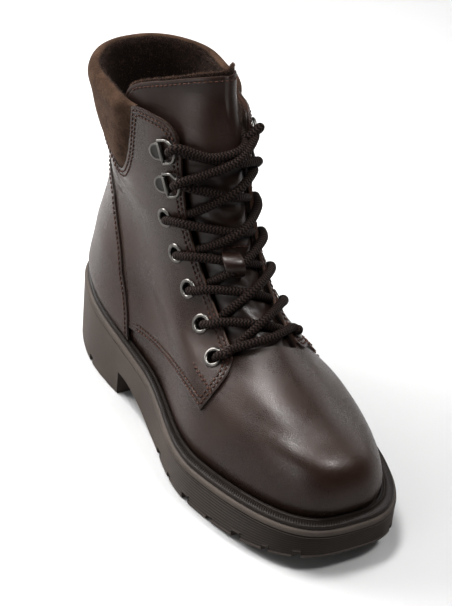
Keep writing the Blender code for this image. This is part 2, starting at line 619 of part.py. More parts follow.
first = heights[0]
reach = away["outer"][0]
bar = [(-reach, first, OVER + 1.7), (-0.72 * reach, first + 0.035, OVER + 1.2),
       (-0.3, first + 0.09, OVER - 0.4), (0.3, first + INNER_RISE + 0.09, OVER - 0.4),
       (0.72 * reach, first + INNER_RISE + 0.035, OVER + 1.2), (reach, first + INNER_RISE, OVER + 1.7)]
add("lace_bar", strand("lace_bar", bar), "cord")
last = heights[-1] + 0.036
edges = [math.pi - t - 0.11 for t in throat(last)]
end = [(-edges[0], last, OVER - 1.2), (-0.25, last, BED - 0.5), (0.25, last + INNER_RISE, BED - 0.5),
       (edges[1], last + INNER_RISE, OVER - 1.2)]
add("lace_top", strand("lace_top", end), "cord")
for k in range(len(heights) - 1):
    crossing(f"lace_cross_{k + 1}", k)
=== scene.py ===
import math
import bpy
import numpy as np
from mathutils import Matrix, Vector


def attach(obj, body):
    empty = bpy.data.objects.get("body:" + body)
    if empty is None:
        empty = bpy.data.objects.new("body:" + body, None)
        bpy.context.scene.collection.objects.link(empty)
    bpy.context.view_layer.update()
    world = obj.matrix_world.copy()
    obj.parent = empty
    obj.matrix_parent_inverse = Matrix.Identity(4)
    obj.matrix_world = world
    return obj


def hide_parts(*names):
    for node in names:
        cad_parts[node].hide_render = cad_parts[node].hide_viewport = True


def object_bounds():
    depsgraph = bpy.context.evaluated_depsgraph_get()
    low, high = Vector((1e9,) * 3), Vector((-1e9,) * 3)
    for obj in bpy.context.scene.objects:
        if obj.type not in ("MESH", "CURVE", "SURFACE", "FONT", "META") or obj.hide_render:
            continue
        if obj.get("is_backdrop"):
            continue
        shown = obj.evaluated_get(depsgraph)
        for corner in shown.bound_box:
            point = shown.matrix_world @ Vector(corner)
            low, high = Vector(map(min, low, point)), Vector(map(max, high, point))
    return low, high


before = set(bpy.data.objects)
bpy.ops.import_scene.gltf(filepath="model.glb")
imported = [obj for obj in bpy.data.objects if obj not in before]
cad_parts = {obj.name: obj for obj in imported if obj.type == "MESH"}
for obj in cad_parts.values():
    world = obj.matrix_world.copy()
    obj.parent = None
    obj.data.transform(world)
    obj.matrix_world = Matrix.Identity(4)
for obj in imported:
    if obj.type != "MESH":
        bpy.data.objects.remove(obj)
cadBox = [list(corner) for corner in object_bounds()]
scene = bpy.context.scene
mm = 0.001
pi = math.pi
farRim = 9.0  # rim mark of a point far from any edge, in millimetres
oneRow = 3.4  # highest rim mark where only the first stitch row is drawn in
print("frame loaded:", len(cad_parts), "nodes")

# the last, in millimetres; x in the tables runs from the heel end of the sole
last = {
    "length": 288.0, "sideShift": 10.17, "wall": 2.4, "skin": 1.5, "gap": 0.4, "lap": 0.2,
    "weltHeight": 3.1, "ridgeDrop": 6.0, "heelBreast": 94.0, "archEnd": 142.0, "archRise": 15.5,
    "springStart": 215.0, "toeSpring": 11.8, "breastStep": 0.3, "seatBlend": 0.22,
    "turnLength": 45.0, "riseLength": 190.0,  # millimetres for a radian and for a rise of 1
    "columns": ("frontX", "frontZ", "backX", "backZ", "outerHeel", "outerWaist", "outerBall",
                "innerHeel", "innerWaist", "innerBall", "toeShift", "frontPower", "backPower"),
    "rings": (
        (0.00, 278, 32, 8, 43, 35, 36, 49, 33, 29, 47, 14, 0.71, 0.72),
        (0.08, 281, 41, 5, 53, 36.5, 37.5, 50.5, 34, 31, 48, 14, 0.73, 0.74),
        (0.16, 278, 53, 5, 64, 35.5, 36, 48, 33, 31, 43, 13.5, 0.77, 0.78),
        (0.25, 267, 64, 6, 75, 33.5, 33, 42.5, 32, 30, 34, 11.5, 0.82, 0.82),
        (0.34, 245, 73, 7, 86, 31, 31, 37, 30, 29, 28, 9, 0.90, 0.85),
        (0.43, 217, 82, 10.5, 98, 28, 30, 32, 28, 29, 24.8, 6.5, 0.95, 0.85),
        (0.52, 191, 95, 14.5, 112, 25, 28.5, 28.5, 26, 29, 24, 4.5, 0.98, 0.85),
        (0.62, 169, 114, 16.5, 128, 23.5, 28.5, 27, 25, 29.5, 24, 2.5, 0.94, 0.85),
        (0.72, 155, 135, 15, 145, 26, 31.5, 28, 26, 31, 24, 1, 0.90, 0.85),
        (0.82, 147.5, 155, 12, 162, 29, 34.5, 30, 28.5, 33, 23.5, 0, 0.87, 0.85),
        (0.91, 143.5, 173, 10, 177.5, 31, 36.5, 32, 31, 34.5, 23, 0, 0.85, 0.85),
        (1.00, 141, 190, 7.5, 193, 34, 39, 33.5, 33, 36, 23.5, 0, 0.85, 0.85)),
    "stations": (("Heel", 0.16), ("Waist", 0.42), ("Ball", 0.72)),
    "solePlan": {"frontX": 288, "frontZ": 0, "backX": 0, "backZ": 0, "outerHeel": 41,
                 "outerWaist": 43.5, "outerBall": 58, "innerHeel": 39, "innerWaist": 36.5,
                 "innerBall": 56, "toeShift": 14.5, "frontPower": 0.66, "backPower": 0.74},
    "soleTop": ((0, 48.5), (50, 48.5), (85, 43.5), (110, 38), (150, 30.5), (200, 28), (250, 30),
                (288, 32.5)),
    "throatLow": 0.44, "throatBow": 0.06,
    # throat edges: rise, then outer and inner edge in radians from the front centre line
    "throat": ((0.00, 0.64, 0.62), (0.44, 0.66, 0.62), (0.53, 0.66, 0.60), (0.62, 0.69, 0.62),
               (0.74, 0.72, 0.66), (0.86, 0.69, 0.66), (1.06, 0.69, 0.66)),
    "topEdge": ((0.00, 1.00), (1.70, 1.00), (1.82, 1.028), (2.10, 1.040), (2.24, 1.040), (2.34, 1.028),
                (2.41, 0.998), (2.47, 0.955), (2.80, 0.955)),
    # eyelets and ring plates: rise, radians from the front centre line
    "eyelets": ((0.398, 0.936), (0.478, 0.950), (0.556, 0.985), (0.637, 1.03), (0.726, 1.06)),
    "ringPlates": ((0.842, 0.955), (0.942, 0.975)), "innerRise": 0.018}


def smooth(x):  # 0 to 1 with level ends: 3 x squared less 2 x cubed
    x = np.clip(x, 0, 1)
    return x * x * (3 - 2 * x)


def bell(x, width):  # soft hump of height 1 at x = 0: e to the minus (x / width) squared
    return np.exp(-(x / width) ** 2)


def unit(vectors):  # every vector divided by its length
    return vectors / np.linalg.norm(vectors, axis=-1, keepdims=True)


def lengths(line):  # way run along a line of points, from 0 at its start
    return np.concatenate([[0], np.cumsum(np.linalg.norm(np.diff(line, axis=0), axis=1))])


def onLine(at, run, line):  # places at given lengths along a line
    return np.column_stack([np.interp(at, run, column) for column in line.T])


def layers(*grids):  # grids of points, one after the other
    return np.concatenate([grid.reshape(-1, 3) for grid in grids])


def values(*grids):  # the same for one value per point
    return np.concatenate([grid.ravel() for grid in grids])


def lookup(table, at, column=1):  # straight lines between the rows of a table
    table = np.asarray(table, float)
    return np.interp(at, table[:, 0], table[:, column])


def hermite(table, at):  # smooth cubic through the rows of a table, straight on past the last one
    table = np.asarray(table, float)
    s, v = table[:, 0], table[:, 1:]
    at = np.asarray(at, float)
    h = np.diff(s)
    slope = np.diff(v, axis=0) / h[:, None]
    weight = (h[1:] / (h[1:] + h[:-1]))[:, None]
    tangent = np.vstack([slope[:1], slope[:-1] * weight + slope[1:] * (1 - weight), slope[-1:]])
    inside = np.clip(at, s[0], s[-1])
    i = np.clip(np.searchsorted(s, inside, side="right") - 1, 0, len(h) - 1)
    q = ((inside - s[i]) / h[i])[..., None]
    span = h[i][..., None]
    beyond = (at - inside)[..., None] * tangent[-1]
    return ((1 + 2 * q) * (1 - q) ** 2 * v[i] + q * (1 - q) ** 2 * span * tangent[i] + beyond
            + q * q * (3 - 2 * q) * v[i + 1] + q * q * (q - 1) * span * tangent[i + 1])


def curve(table, at):  # the same for a table with one column of values
    return hermite(table, at)[..., 0]


def section(c, turn):  # one ring of the last: x and z run back to front, y bulges to both sides
    share = (1 - np.cos(turn)) / 2

    def power(at):
        return c["backPower"] + (c["frontPower"] - c["backPower"]) * smooth(at)

    def half(side):
        at = [spot for name, spot in last["stations"]]
        k = [c[side + name] / math.sin(math.acos(1 - 2 * p)) ** power(p) for name, p in last["stations"]]
        return (k[0] + (k[1] - k[0]) * smooth((share - at[0]) / (at[1] - at[0]))
                + (k[2] - k[1]) * smooth((share - at[1]) / (at[2] - at[1])))

    width = np.where(turn < 0, -half("outer"), half("inner"))
    x = c["backX"] + (c["frontX"] - c["backX"]) * share - last["length"] / 2
    y = width * np.abs(np.sin(turn)) ** power(share) + c["toeShift"] * smooth(share) - last["sideShift"]
    z = c["backZ"] + (c["frontZ"] - c["backZ"]) * share
    return np.stack([x, y, z], -1)


def soleTop(x):  # height of the sole's upper edge above the floor
    return curve(last["soleTop"], np.clip(x + last["length"] / 2, 0, last["length"]))


def seatLine(x):  # height on which the upper stands: the sole's top less the welt, plus the gap
    return soleTop(x) - last["weltHeight"] + last["gap"]


def soleUnder(x):  # flat heel, arch rising from the heel breast, flat forefoot, toe spring
    along = x + last["length"] / 2
    climb = (along - last["heelBreast"]) / (last["archEnd"] - last["heelBreast"])
    arch = last["archRise"] * (1 - smooth(climb))
    lift = np.maximum(along - last["springStart"], 0) / (last["length"] - last["springStart"])
    return np.where(along > last["heelBreast"] + last["breastStep"], arch, 0) + last["toeSpring"] * lift ** 2


def surface(turn, rise):  # turn: angle round the last from the back; rise: 0 at the sole, 1 at the collar
    turn = (turn + pi) % (2 * pi) - pi
    rows = hermite(last["rings"], np.maximum(rise, 0))
    c = {name: rows[..., i] for i, name in enumerate(last["columns"])}
    p = section(c, turn)
    flat = section({**c, "backZ": last["rings"][0][4], "frontZ": last["rings"][0][2]}, turn)[..., 2]
    p[..., 2] += (seatLine(p[..., 0]) - flat) * (1 - smooth(rise / last["seatBlend"]))
    return p


def outward(turn, rise):  # normal of the last: across its slopes along and up
    e = 1e-4
    along = surface(turn + e, rise) - surface(turn - e, rise)
    up = surface(turn, rise + e) - surface(turn, np.maximum(rise - e, 0))
    return unit(np.cross(up, along))


def form(turn, rise, off):  # a point off millimetres outside the last
    turn, rise, off = np.broadcast_arrays(*(np.asarray(value, float) for value in (turn, rise, off)))
    return surface(turn, rise) + outward(turn, rise) * off[..., None]


def plan(turn, off):  # outline of the sole, moved outward by off
    e = 1e-4
    along = section(last["solePlan"], turn + e) - section(last["solePlan"], turn - e)
    out = unit(np.stack([-along[..., 1], along[..., 0]], -1))
    return section(last["solePlan"], turn)[..., :2] + out * (off + 0 * turn)[..., None]


def throat(rise, hand):  # turn of the throat edge on the outer (-1) or inner (1) side
    return hand * (pi - lookup(last["throat"], rise, 1 if hand < 0 else 2))


def fitting(row, hand):  # turn and rise of an eyelet or plate; those on the inner side lie a little higher
    return hand * (pi - row[1]), row[0] + (last["innerRise"] if hand > 0 else 0)


def spread(count, crowd=0.75):  # 0 to 1 with the steps crowded at both ends: s less a sine of s
    s = np.linspace(0, 1, count)
    return s - crowd * np.sin(2 * pi * s) / (2 * pi)


def softLine(table, at, blur=0.02):  # straight lines through the rows by length, corners rounded off
    table = np.asarray(table, float)
    step = np.hypot(np.diff(table[:, 0]) * last["turnLength"], np.diff(table[:, 1]) * last["riseLength"])
    knots = np.concatenate([[0], np.cumsum(step)]) / step.sum()
    shifts = np.linspace(-1, 1, 9)[:, None] * np.minimum(blur, np.minimum(at, 1 - at))[None, :]
    return np.stack([np.interp(at[None, :] + shifts, knots, column).mean(0) for column in table.T], -1)


def distanceTo(points, line):  # nearest distance from every point to a dense line of points
    best = np.full(points.shape[:-1], 1e9)
    for spot in line:
        best = np.minimum(best, ((points - spot) ** 2).sum(-1))
    return np.sqrt(best)


def gridFaces(rows, cols, wrap=False, wrapRows=False, keep=None):
    # quads between neighbouring rows and columns, facing out of the last
    index = np.arange(rows * cols).reshape(rows, cols)
    if wrap:
        index = np.hstack([index, index[:, :1]])
    if wrapRows:
        index = np.vstack([index, index[:1]])
    quads = np.stack([index[:-1, :-1], index[1:, :-1], index[1:, 1:], index[:-1, 1:]], -1)
    return quads.reshape(-1, 4) if keep is None else quads[keep]


def slabFaces(rows, cols, wrap=False, keep=None):
    # an outer and an inner grid back to back, joined round every open border
    size = rows * cols
    outer = gridFaces(rows, cols, wrap, keep=keep)
    edges = np.concatenate([outer[:, [k, (k + 1) % 4]] for k in range(4)])
    paired = np.isin(edges[:, 0] * size + edges[:, 1], edges[:, 1] * size + edges[:, 0])
    a, b = edges[~paired].T
    return np.concatenate([outer, outer[:, ::-1] + size, np.column_stack([b, a, a + size, b + size])])


def part(grid, wrapRows=False):  # a turned grid as points and outward faces, closed round its columns
    return grid.reshape(-1, 3), gridFaces(*grid.shape[:2], True, wrapRows)[:, ::-1]


def joined(parts):  # several (points, faces) as one
    start = np.cumsum([0] + [len(p) for p, f in parts[:-1]])
    return np.concatenate([p for p, f in parts]), np.concatenate([f + s for (p, f), s in zip(parts, start)])


def putPiece(name, points, faces, material, marks=None, crease=60):
    # faces: an array, or a list of arrays with different corner counts; marks: values per point
    groups = faces if isinstance(faces, list) else [faces]
    sizes = np.concatenate([np.full(len(g), g.shape[1]) for g in groups])
    used, corners = np.unique(np.concatenate([g.ravel() for g in groups]), return_inverse=True)
    mesh = bpy.data.meshes.new(name)
    mesh.vertices.add(len(used))
    mesh.vertices.foreach_set("co", (points.reshape(-1, 3)[used] * mm).astype(np.float32).ravel())
    mesh.loops.add(len(corners))
    mesh.loops.foreach_set("vertex_index", corners.astype(np.int32))
    mesh.polygons.add(len(sizes))
    starts = np.concatenate([[0], np.cumsum(sizes)[:-1]])
    mesh.polygons.foreach_set("loop_start", starts.astype(np.int32))
    mesh.update(calc_edges=True)
    for label, mark in (marks or {}).items():
        kind, key = ("FLOAT", "value") if mark.ndim == 1 else ("FLOAT_VECTOR", "vector")
        layer = mesh.attributes.new(label, kind, "POINT")
        layer.data.foreach_set(key, mark[used].astype(np.float32).ravel())
    mesh.materials.append(material)
    mesh.set_sharp_from_angle(angle=math.radians(crease))
    piece = bpy.data.objects.new(name, mesh)
    scene.collection.objects.link(piece)
    return piece


def place(piece, slotName, *nodes):  # body, slot (not used) and the CAD nodes that the piece stands for
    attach(piece, "root")
    if nodes:
        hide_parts(*nodes)
    return piece


def bothSides(stem, count):  # node names on the outer side, then on the inner side
    return [f"{stem}_{side}_{k}" for side in ("outer", "inner") for k in range(1, count + 1)]


def feed(tree, sockets, inputs):  # a socket is linked, a value is set
    for key, value in dict(inputs).items():
        if isinstance(value, bpy.types.NodeSocket):
            tree.links.new(value, sockets[key])
        else:
            sockets[key].default_value = value


def put(tree, kind, inputs=(), **settings):  # a new node, its settings first, then its inputs
    made = tree.nodes.new("ShaderNode" + kind)
    for key, value in settings.items():
        setattr(made, key, value)
    feed(tree, made.inputs, inputs)
    return made


def calc(tree, operation, a, b=0.0, clamp=False):  # one operation on two values
    return put(tree, "Math", {0: a, 1: b}, operation=operation, use_clamp=clamp).outputs[0]


def total(tree, *terms):  # sum of the terms, a pair standing for its product
    products = [calc(tree, "MULTIPLY", *term) if isinstance(term, tuple) else term for term in terms]
    result = products[0]
    for product in products[1:]:
        result = calc(tree, "ADD", result, product)
    return result


def vector(tree, operation, a, b):  # the same on two vectors
    return put(tree, "VectorMath", {0: a, 1: b}, operation=operation).outputs


def noise(tree, where, scale, detail, roughness=0.5, distortion=0.0):  # random tones about a half
    return put(tree, "TexNoise", {"Vector": where, "Scale": scale, "Detail": detail, "Roughness": roughness,
                                  "Distortion": distortion}).outputs


def ramp(tree, value, low, high, outLow=0.0, outHigh=1.0):  # low to high, eased to the out range
    return put(tree, "MapRange", {"Value": value, "From Min": low, "From Max": high, "To Min": outLow,
                                  "To Max": outHigh}, interpolation_type="SMOOTHSTEP").outputs["Result"]


def mixColour(tree, factor, a, b):  # a at factor 0, b at factor 1
    a, b = (tone if isinstance(tone, bpy.types.NodeSocket) else (*tone, 1) for tone in (a, b))
    return put(tree, "Mix", {0: factor, 6: a, 7: b}, data_type="RGBA").outputs[2]


def darker(colour, factor):  # a colour times a factor
    return tuple(c * factor for c in colour)


def marked(tree, name, output="Fac"):  # a value stored per point of the mesh
    return put(tree, "Attribute", attribute_name=name).outputs[output]


def bump(tree, shader, height, distance, strength=1.0, under=None):  # normal tilted by a height
    inputs = {"Height": height, "Distance": distance * mm, "Strength": strength}
    if under is not None:
        inputs["Normal"] = under
    normal = put(tree, "Bump", inputs).outputs["Normal"]
    tree.links.new(normal, shader.inputs["Normal"])
    return normal


def newGroup(name, inputs, outputs):  # a node group; an input with no value is a vector
    tree = bpy.data.node_groups.new(name, "ShaderNodeTree")
    for label, value in inputs.items():
        kind = "NodeSocketVector" if value is None else "NodeSocketFloat"
        socket = tree.interface.new_socket(label, in_out="INPUT", socket_type=kind)
        if value is not None:
            socket.default_value = value
    for label in outputs:
        tree.interface.new_socket(label, in_out="OUTPUT", socket_type="NodeSocketFloat")
    return tree, tree.nodes.new("NodeGroupInput").outputs, tree.nodes.new("NodeGroupOutput").inputs


def useGroup(tree, group, inputs):  # the outputs of a group for these inputs
    return put(tree, "Group", inputs, node_tree=group).outputs


def newMaterial(name, **sockets):  # values on the shader's sockets, and the object's coordinates
    made = bpy.data.materials.new(name)
    made.use_nodes = True
    tree = made.node_tree
    shader = tree.nodes["Principled BSDF"]
    for key, value in sockets.items():
        shader.inputs[key.replace("_", " ")].default_value = value
    return made, tree, shader, put(tree, "TexCoord").outputs["Object"]


# grain: warped cells with raised middles, finer cells inside them and long shallow wrinkles
grain, takes, gives = newGroup("leatherGrain", {"Vector": None, "Cells": 900.0, "Wrinkle": 0.3},
                         ("Height", "Pores"))
stretched = vector(grain, "MULTIPLY", takes["Vector"], (90.0, 90.0, 330.0))[0]
folds = noise(grain, stretched, 1.0, 1.5, 0.5, 0.4)[0]
patches = noise(grain, takes["Vector"], 28.0, 1.0)[0]
creased = calc(grain, "MULTIPLY", ramp(grain, folds, 0.30, 0.70), ramp(grain, patches, 0.36, 0.66, 0.4, 1.5))
warp = noise(grain, takes["Vector"], 260.0, 2.0)["Color"]
warp = vector(grain, "MULTIPLY", warp, (0.0016, 0.0016, 0.0016))[0]
moved = vector(grain, "ADD", takes["Vector"], warp)[0]
cells = put(grain, "TexVoronoi", {"Vector": moved, "Scale": takes["Cells"]}, feature="DISTANCE_TO_EDGE")
pebble = ramp(grain, cells.outputs["Distance"], 0.0, 0.22)
fine = noise(grain, moved, calc(grain, "MULTIPLY", takes["Cells"], 2.3), 3.0, 0.6)[0]
wrinkles = noise(grain, moved, 120.0, 5.0, 0.62)[0]
height = total(grain, (pebble, 0.55), (fine, 0.45), (wrinkles, takes["Wrinkle"]),
               (creased, calc(grain, "MULTIPLY", takes["Wrinkle"], 4.0)))
feed(grain, gives, {"Height": height, "Pores": calc(grain, "SUBTRACT", 1.0, pebble)})

# drift: slow blotches of tone, with finer ones in them
drift, takes, gives = newGroup("toneDrift", {"Vector": None, "Scale": 30.0}, ("Tone",))
slow = noise(drift, takes["Vector"], takes["Scale"], 6.0, 0.6)[0]
feed(drift, gives, {"Tone": ramp(drift, slow, 0.32, 0.68)})

# rub: a band along a cut edge, broken by noise
edgeRub, takes, gives = newGroup("edgeRub", {"Vector": None, "Rim": 9.0, "Width": 1.0}, ("Rub",))
patchy = calc(edgeRub, "ADD", noise(edgeRub, takes["Vector"], 420.0, 4.0)[0], 0.5)
share = calc(edgeRub, "DIVIDE", takes["Rim"], calc(edgeRub, "MULTIPLY", takes["Width"], patchy))
feed(edgeRub, gives, {"Rub": calc(edgeRub, "SUBTRACT", 1.0, share, clamp=True)})

# groove: the leather drawn in under each of two stitch rows
stitchGroove, takes, gives = newGroup("stitchGroove", {"Rim": 9.0, "First": 2.2, "Second": 4.8}, ("Height",))
apart = [calc(stitchGroove, "SUBTRACT", takes["Rim"], takes[key]) for key in ("First", "Second")]
apart = [ramp(stitchGroove, calc(stitchGroove, "ABSOLUTE", gap), 0.0, 0.9, 0.0, 0.5) for gap in apart]
feed(stitchGroove, gives, {"Height": total(stitchGroove, *apart)})

# nap: short fibres lying in changing directions, with pale tufts
nap, takes, gives = newGroup("napFibre", {"Vector": None, "Scale": 700.0}, ("Height", "Tone", "Specks"))
swirl = vector(nap, "MULTIPLY", noise(nap, takes["Vector"], 90.0, 3.0)["Color"], (0.006, 0.006, 0.006))[0]
swept = vector(nap, "ADD", takes["Vector"], swirl)[0]
strands = noise(nap, swept, takes["Scale"], 6.0, 0.75)[0]
clouds = noise(nap, takes["Vector"], 110.0, 5.0, 0.65)[0]
tufts = noise(nap, swept, 1250.0, 2.0, 0.6)[0]
tone = ramp(nap, total(nap, (strands, 0.45), (clouds, 0.55)), 0.34, 0.66)
feed(nap, gives, {"Height": strands, "Tone": tone, "Specks": ramp(nap, tufts, 0.54, 0.70)})


def leatherMaterial(name, dark, light, edge, roughness, cells, wrinkle, depth):  # tone, pores, edges
    made, tree, shader, where = newMaterial(name, Specular_IOR_Level=0.5, Coat_Weight=0.16,
                                            Coat_Roughness=0.42)
    skin = useGroup(tree, grain, {"Vector": where, "Cells": cells, "Wrinkle": wrinkle})
    tone = useGroup(tree, drift, {"Vector": where, "Scale": 26.0})["Tone"]
    rub = useGroup(tree, edgeRub, {"Vector": where, "Rim": marked(tree, "cut"), "Width": 0.9})["Rub"]
    base = mixColour(tree, tone, dark, light)
    base = mixColour(tree, calc(tree, "MULTIPLY", skin["Pores"], 0.35), base, darker(dark, 0.45))
    rough = total(tree, roughness - 0.05, (tone, 0.07), (skin["Pores"], 0.16), (rub, 0.2))
    feed(tree, shader.inputs, {"Base Color": mixColour(tree, rub, base, edge), "Roughness": rough})
    fineNormal = bump(tree, shader, skin["Height"], depth, 0.8)
    groove = useGroup(tree, stitchGroove, {"Rim": marked(tree, "rim")})["Height"]
    bump(tree, shader, groove, 0.5, 0.8, fineNormal)
    return made


def napMaterial(name, dark, light, scale, depth, edge=None):  # pile of fibres, dark to light
    made, tree, shader, where = newMaterial(name, Specular_IOR_Level=0.2, Sheen_Weight=0.15,
                                            Sheen_Roughness=0.5, Sheen_Tint=(0.55, 0.40, 0.32, 1))
    pile = useGroup(tree, nap, {"Vector": where, "Scale": scale})
    base = mixColour(tree, pile["Tone"] if edge else pile["Specks"], dark, light)
    if edge is not None:  # inside the rolled rim the suede gives way to fleece
        base = mixColour(tree, marked(tree, "fleece"), base, mixColour(tree, pile["Specks"], *edge))
    rough = ramp(tree, pile["Tone"], 0.0, 1.0, 1.0, 0.86)
    feed(tree, shader.inputs, {"Base Color": base, "Roughness": rough})
    bump(tree, shader, pile["Height"], depth, 0.9)
    return made


def rubberMaterial(name, dark, light, roughness):  # slow tone, painted shade darkening the grooves, fine grain
    made, tree, shader, where = newMaterial(name, Specular_IOR_Level=0.32)
    skin = useGroup(tree, grain, {"Vector": where, "Cells": 1500.0, "Wrinkle": 0.2})
    tone = useGroup(tree, drift, {"Vector": where, "Scale": 34.0})["Tone"]
    # painted shade: the base colour turns darker where the mesh's groove mark is set
    base = mixColour(tree, marked(tree, "groove"), mixColour(tree, tone, dark, light), darker(dark, 0.5))
    feed(tree, shader.inputs, {"Base Color": base, "Roughness": total(tree, roughness, (tone, 0.10))})
    bump(tree, shader, skin["Height"], 0.05, 0.6)
    return made


def metalMaterial(name, colour):  # slow tone, with a painted dark reflection where the mesh's groove mark is set
    made, tree, shader, where = newMaterial(name, Metallic=1.0)
    tone = useGroup(tree, drift, {"Vector": where, "Scale": 160.0})["Tone"]
    base = mixColour(tree, tone, darker(colour, 0.85), colour)
    # painted dark reflection: darker colour where the groove mark is set
    base = mixColour(tree, marked(tree, "groove"), base, darker(colour, 0.36))
    feed(tree, shader.inputs, {"Base Color": base, "Roughness": ramp(tree, tone, 0.0, 1.0, 0.33, 0.40)})
    return made


def threadMaterial(name, dark, light):  # quick tone along the thread
    made, tree, shader, where = newMaterial(name, Specular_IOR_Level=0.4)
    tone = useGroup(tree, drift, {"Vector": where, "Scale": 260.0})["Tone"]
    feed(tree, shader.inputs, {"Base Color": mixColour(tree, tone, dark, light),
                               "Roughness": ramp(tree, tone, 0.0, 1.0, 0.55, 0.75)})
    return made


def braidMaterial(name, dark, light, pitch, strands):  # two windings of strands, one over the other, with painted shade between the strands and painted highlight on their crowns
    made, tree, shader, where = newMaterial(name, Specular_IOR_Level=0.22)
    split = put(tree, "SeparateXYZ", {0: marked(tree, "weave", "Vector")}).outputs
    turned = calc(tree, "MULTIPLY", calc(tree, "ARCTAN2", split[2], split[1]), strands)
    run = calc(tree, "MULTIPLY", split[0], 2 * pi / pitch)
    bands = [calc(tree, "SINE", calc(tree, sign, run, turned)) for sign in ("SUBTRACT", "ADD")]
    pick = ramp(tree, calc(tree, "SINE", turned), -0.25, 0.25)  # which of the two windings lies on top
    height = ramp(tree, put(tree, "Mix", {0: pick, 2: bands[0], 3: bands[1]}).outputs[0], -1.0, 0.9)
    # painted shade and highlight: the colour runs from dark in the gaps to light on the strand crowns
    feed(tree, shader.inputs, {"Base Color": mixColour(tree, height, dark, light),
                               "Roughness": ramp(tree, height, 0.0, 1.0, 0.85, 0.6)})
    bump(tree, shader, height, 0.40)
    return made


leather = leatherMaterial("grainedLeather", (0.021, 0.0090, 0.0050), (0.033, 0.0147, 0.0084),
                          (0.085, 0.042, 0.025), 0.29, 1050.0, 0.085, 0.068)
tongueLeather = leatherMaterial("tongueLeather", (0.017, 0.0073, 0.0042), (0.027, 0.0122, 0.0073),
                                (0.060, 0.034, 0.024), 0.31, 1200.0, 0.2, 0.05)
fleeceTones = ((0.0105, 0.0056, 0.0040), (0.090, 0.052, 0.036))
suede = napMaterial("collarSuede", (0.024, 0.0130, 0.0080), (0.070, 0.0415, 0.0262), 900.0, 0.30, fleeceTones)
fleece = napMaterial("fleeceLining", *fleeceTones, 520.0, 0.9)
soleRubber = rubberMaterial("soleRubber", (0.064, 0.0515, 0.0440), (0.088, 0.0725, 0.0625), 0.58)
weltRubber = rubberMaterial("weltRubber", (0.016, 0.0112, 0.0090), (0.025, 0.0180, 0.0145), 0.42)
gunmetal = metalMaterial("gunmetal", (0.175, 0.168, 0.158))
thread = threadMaterial("waxedThread", (0.045, 0.0195, 0.0125), (0.100, 0.044, 0.028))
fibre = threadMaterial("fleeceFibre", (0.020, 0.0115, 0.008), (0.060, 0.034, 0.024))
# painted light: a lighter copy of the fleece fibre colour, for the tongue's lit fringe
paintedLitFibre = threadMaterial("paintedLitFibre", (0.060, 0.036, 0.026), (0.150, 0.092, 0.066))
# dark and light: painted shade in the braid's gaps, painted highlight on its crowns
braid = braidMaterial("braidedCord", (0.0024, 0.0013, 0.0010), (0.0330, 0.0185, 0.0140), 1.9, 6.0)
print("materials made")

# camera at the photograph's angle; the image is 452 x 606, its long side is the sensor's
view = {"azimuth": 59.95, "elevation": 33.32, "roll": 5.32, "distance": 1049.7, "focal": 1802.1,
        "target": (0.0, -10.17, 90.0), "shift": (3.90, -1.19), "longSide": 606, "sensor": 36.0}


def hang(name, data, axes, at):  # a camera or lamp with these axes at a place
    made = bpy.data.objects.new(name, data)
    made.matrix_world = Matrix([[*row, p] for row, p in zip(axes, at)] + [[0, 0, 0, 1]])
    scene.collection.objects.link(made)
    return made


def spun(a, b, angle):  # two crossing axes turned in their plane: a toward b, b away from a
    c, s = math.cos(angle), math.sin(angle)
    return a * c + b * s, b * c - a * s


azimuth, elevation, roll = (math.radians(view[key]) for key in ("azimuth", "elevation", "roll"))
right = np.array([math.cos(azimuth), math.sin(azimuth), 0.0])
level = np.array([math.sin(azimuth), -math.cos(azimuth), 0.0])
back = level * math.cos(elevation) + np.array([0.0, 0.0, math.sin(elevation)])
lens = bpy.data.cameras.new("camera")
lens.sensor_fit = "AUTO"
lens.sensor_width = view["sensor"]
lens.lens = view["focal"] * view["sensor"] / view["longSide"]
lens.shift_x, lens.shift_y = (shift / view["longSide"] for shift in view["shift"])
lens.clip_start = 0.05
axes = np.column_stack([*spun(right, np.cross(back, right), roll), back])
scene.camera = hang("camera", lens, axes, (np.array(view["target"]) + back * view["distance"]) * mm)

# light: a white room, dim toward the inner front and brighter on the outer side, with six soft boxes
room = {"bright": 0.17, "dim": 0.0, "dimToward": (0.93, 0.15, 0.33), "dimSpan": (0.10, 0.80),
        "left": 0.5, "leftToward": (-0.25, -0.90, 0.35), "leftSpan": (0.2, 1.0),
        "floor": 0.475, "floorHalf": 4000, "floorSink": 0.05, "contrast": 0.74,
        # name, place, aim, size, spin in degrees, watts
        "boxes": (("vampBox", (-0.13, -0.17, 1.32), (0.04, 0.0, 0.05), (0.22, 0.56), 30, 16.0),
                  ("toeBox", (0.58, 0.33, 1.25), (0.10, 0.0, 0.08), (0.24, 0.24), 0, 12.5),
                  ("side", (-1.00, -1.08, 0.95), (0.0, 0.0, 0.10), (0.7, 0.7), 0, 17.0),
                  ("rear", (-0.35, 1.30, 0.75), (0.0, 0.0, 0.10), (1.1, 1.1), 0, 8.0),
                  ("floorGlow", (-0.62, -0.32, 0.50), (-0.50, -0.24, 0.0), (0.5, 0.5), 0, 8.5),
                  ("fill", (0.50, -1.25, 0.40), (0.05, 0.0, 0.03), (0.6, 0.6), 0, 5.0))}
scene.view_settings.view_transform = "Standard"
scene.view_settings.gamma = room["contrast"]
world = bpy.data.worlds.new("room")
world.use_nodes = True
sky = world.node_tree
heading = put(sky, "TexCoord").outputs["Generated"]
facing = vector(sky, "DOT_PRODUCT", heading, room["dimToward"])["Value"]
leftward = vector(sky, "DOT_PRODUCT", heading, room["leftToward"])["Value"]
glow = total(sky, ramp(sky, facing, *room["dimSpan"], room["bright"], room["dim"]),
             ramp(sky, leftward, *room["leftSpan"], 0.0, room["left"]))
feed(sky, sky.nodes["Background"].inputs, {"Color": (1.0, 1.0, 1.0, 1), "Strength": glow})
scene.world = world
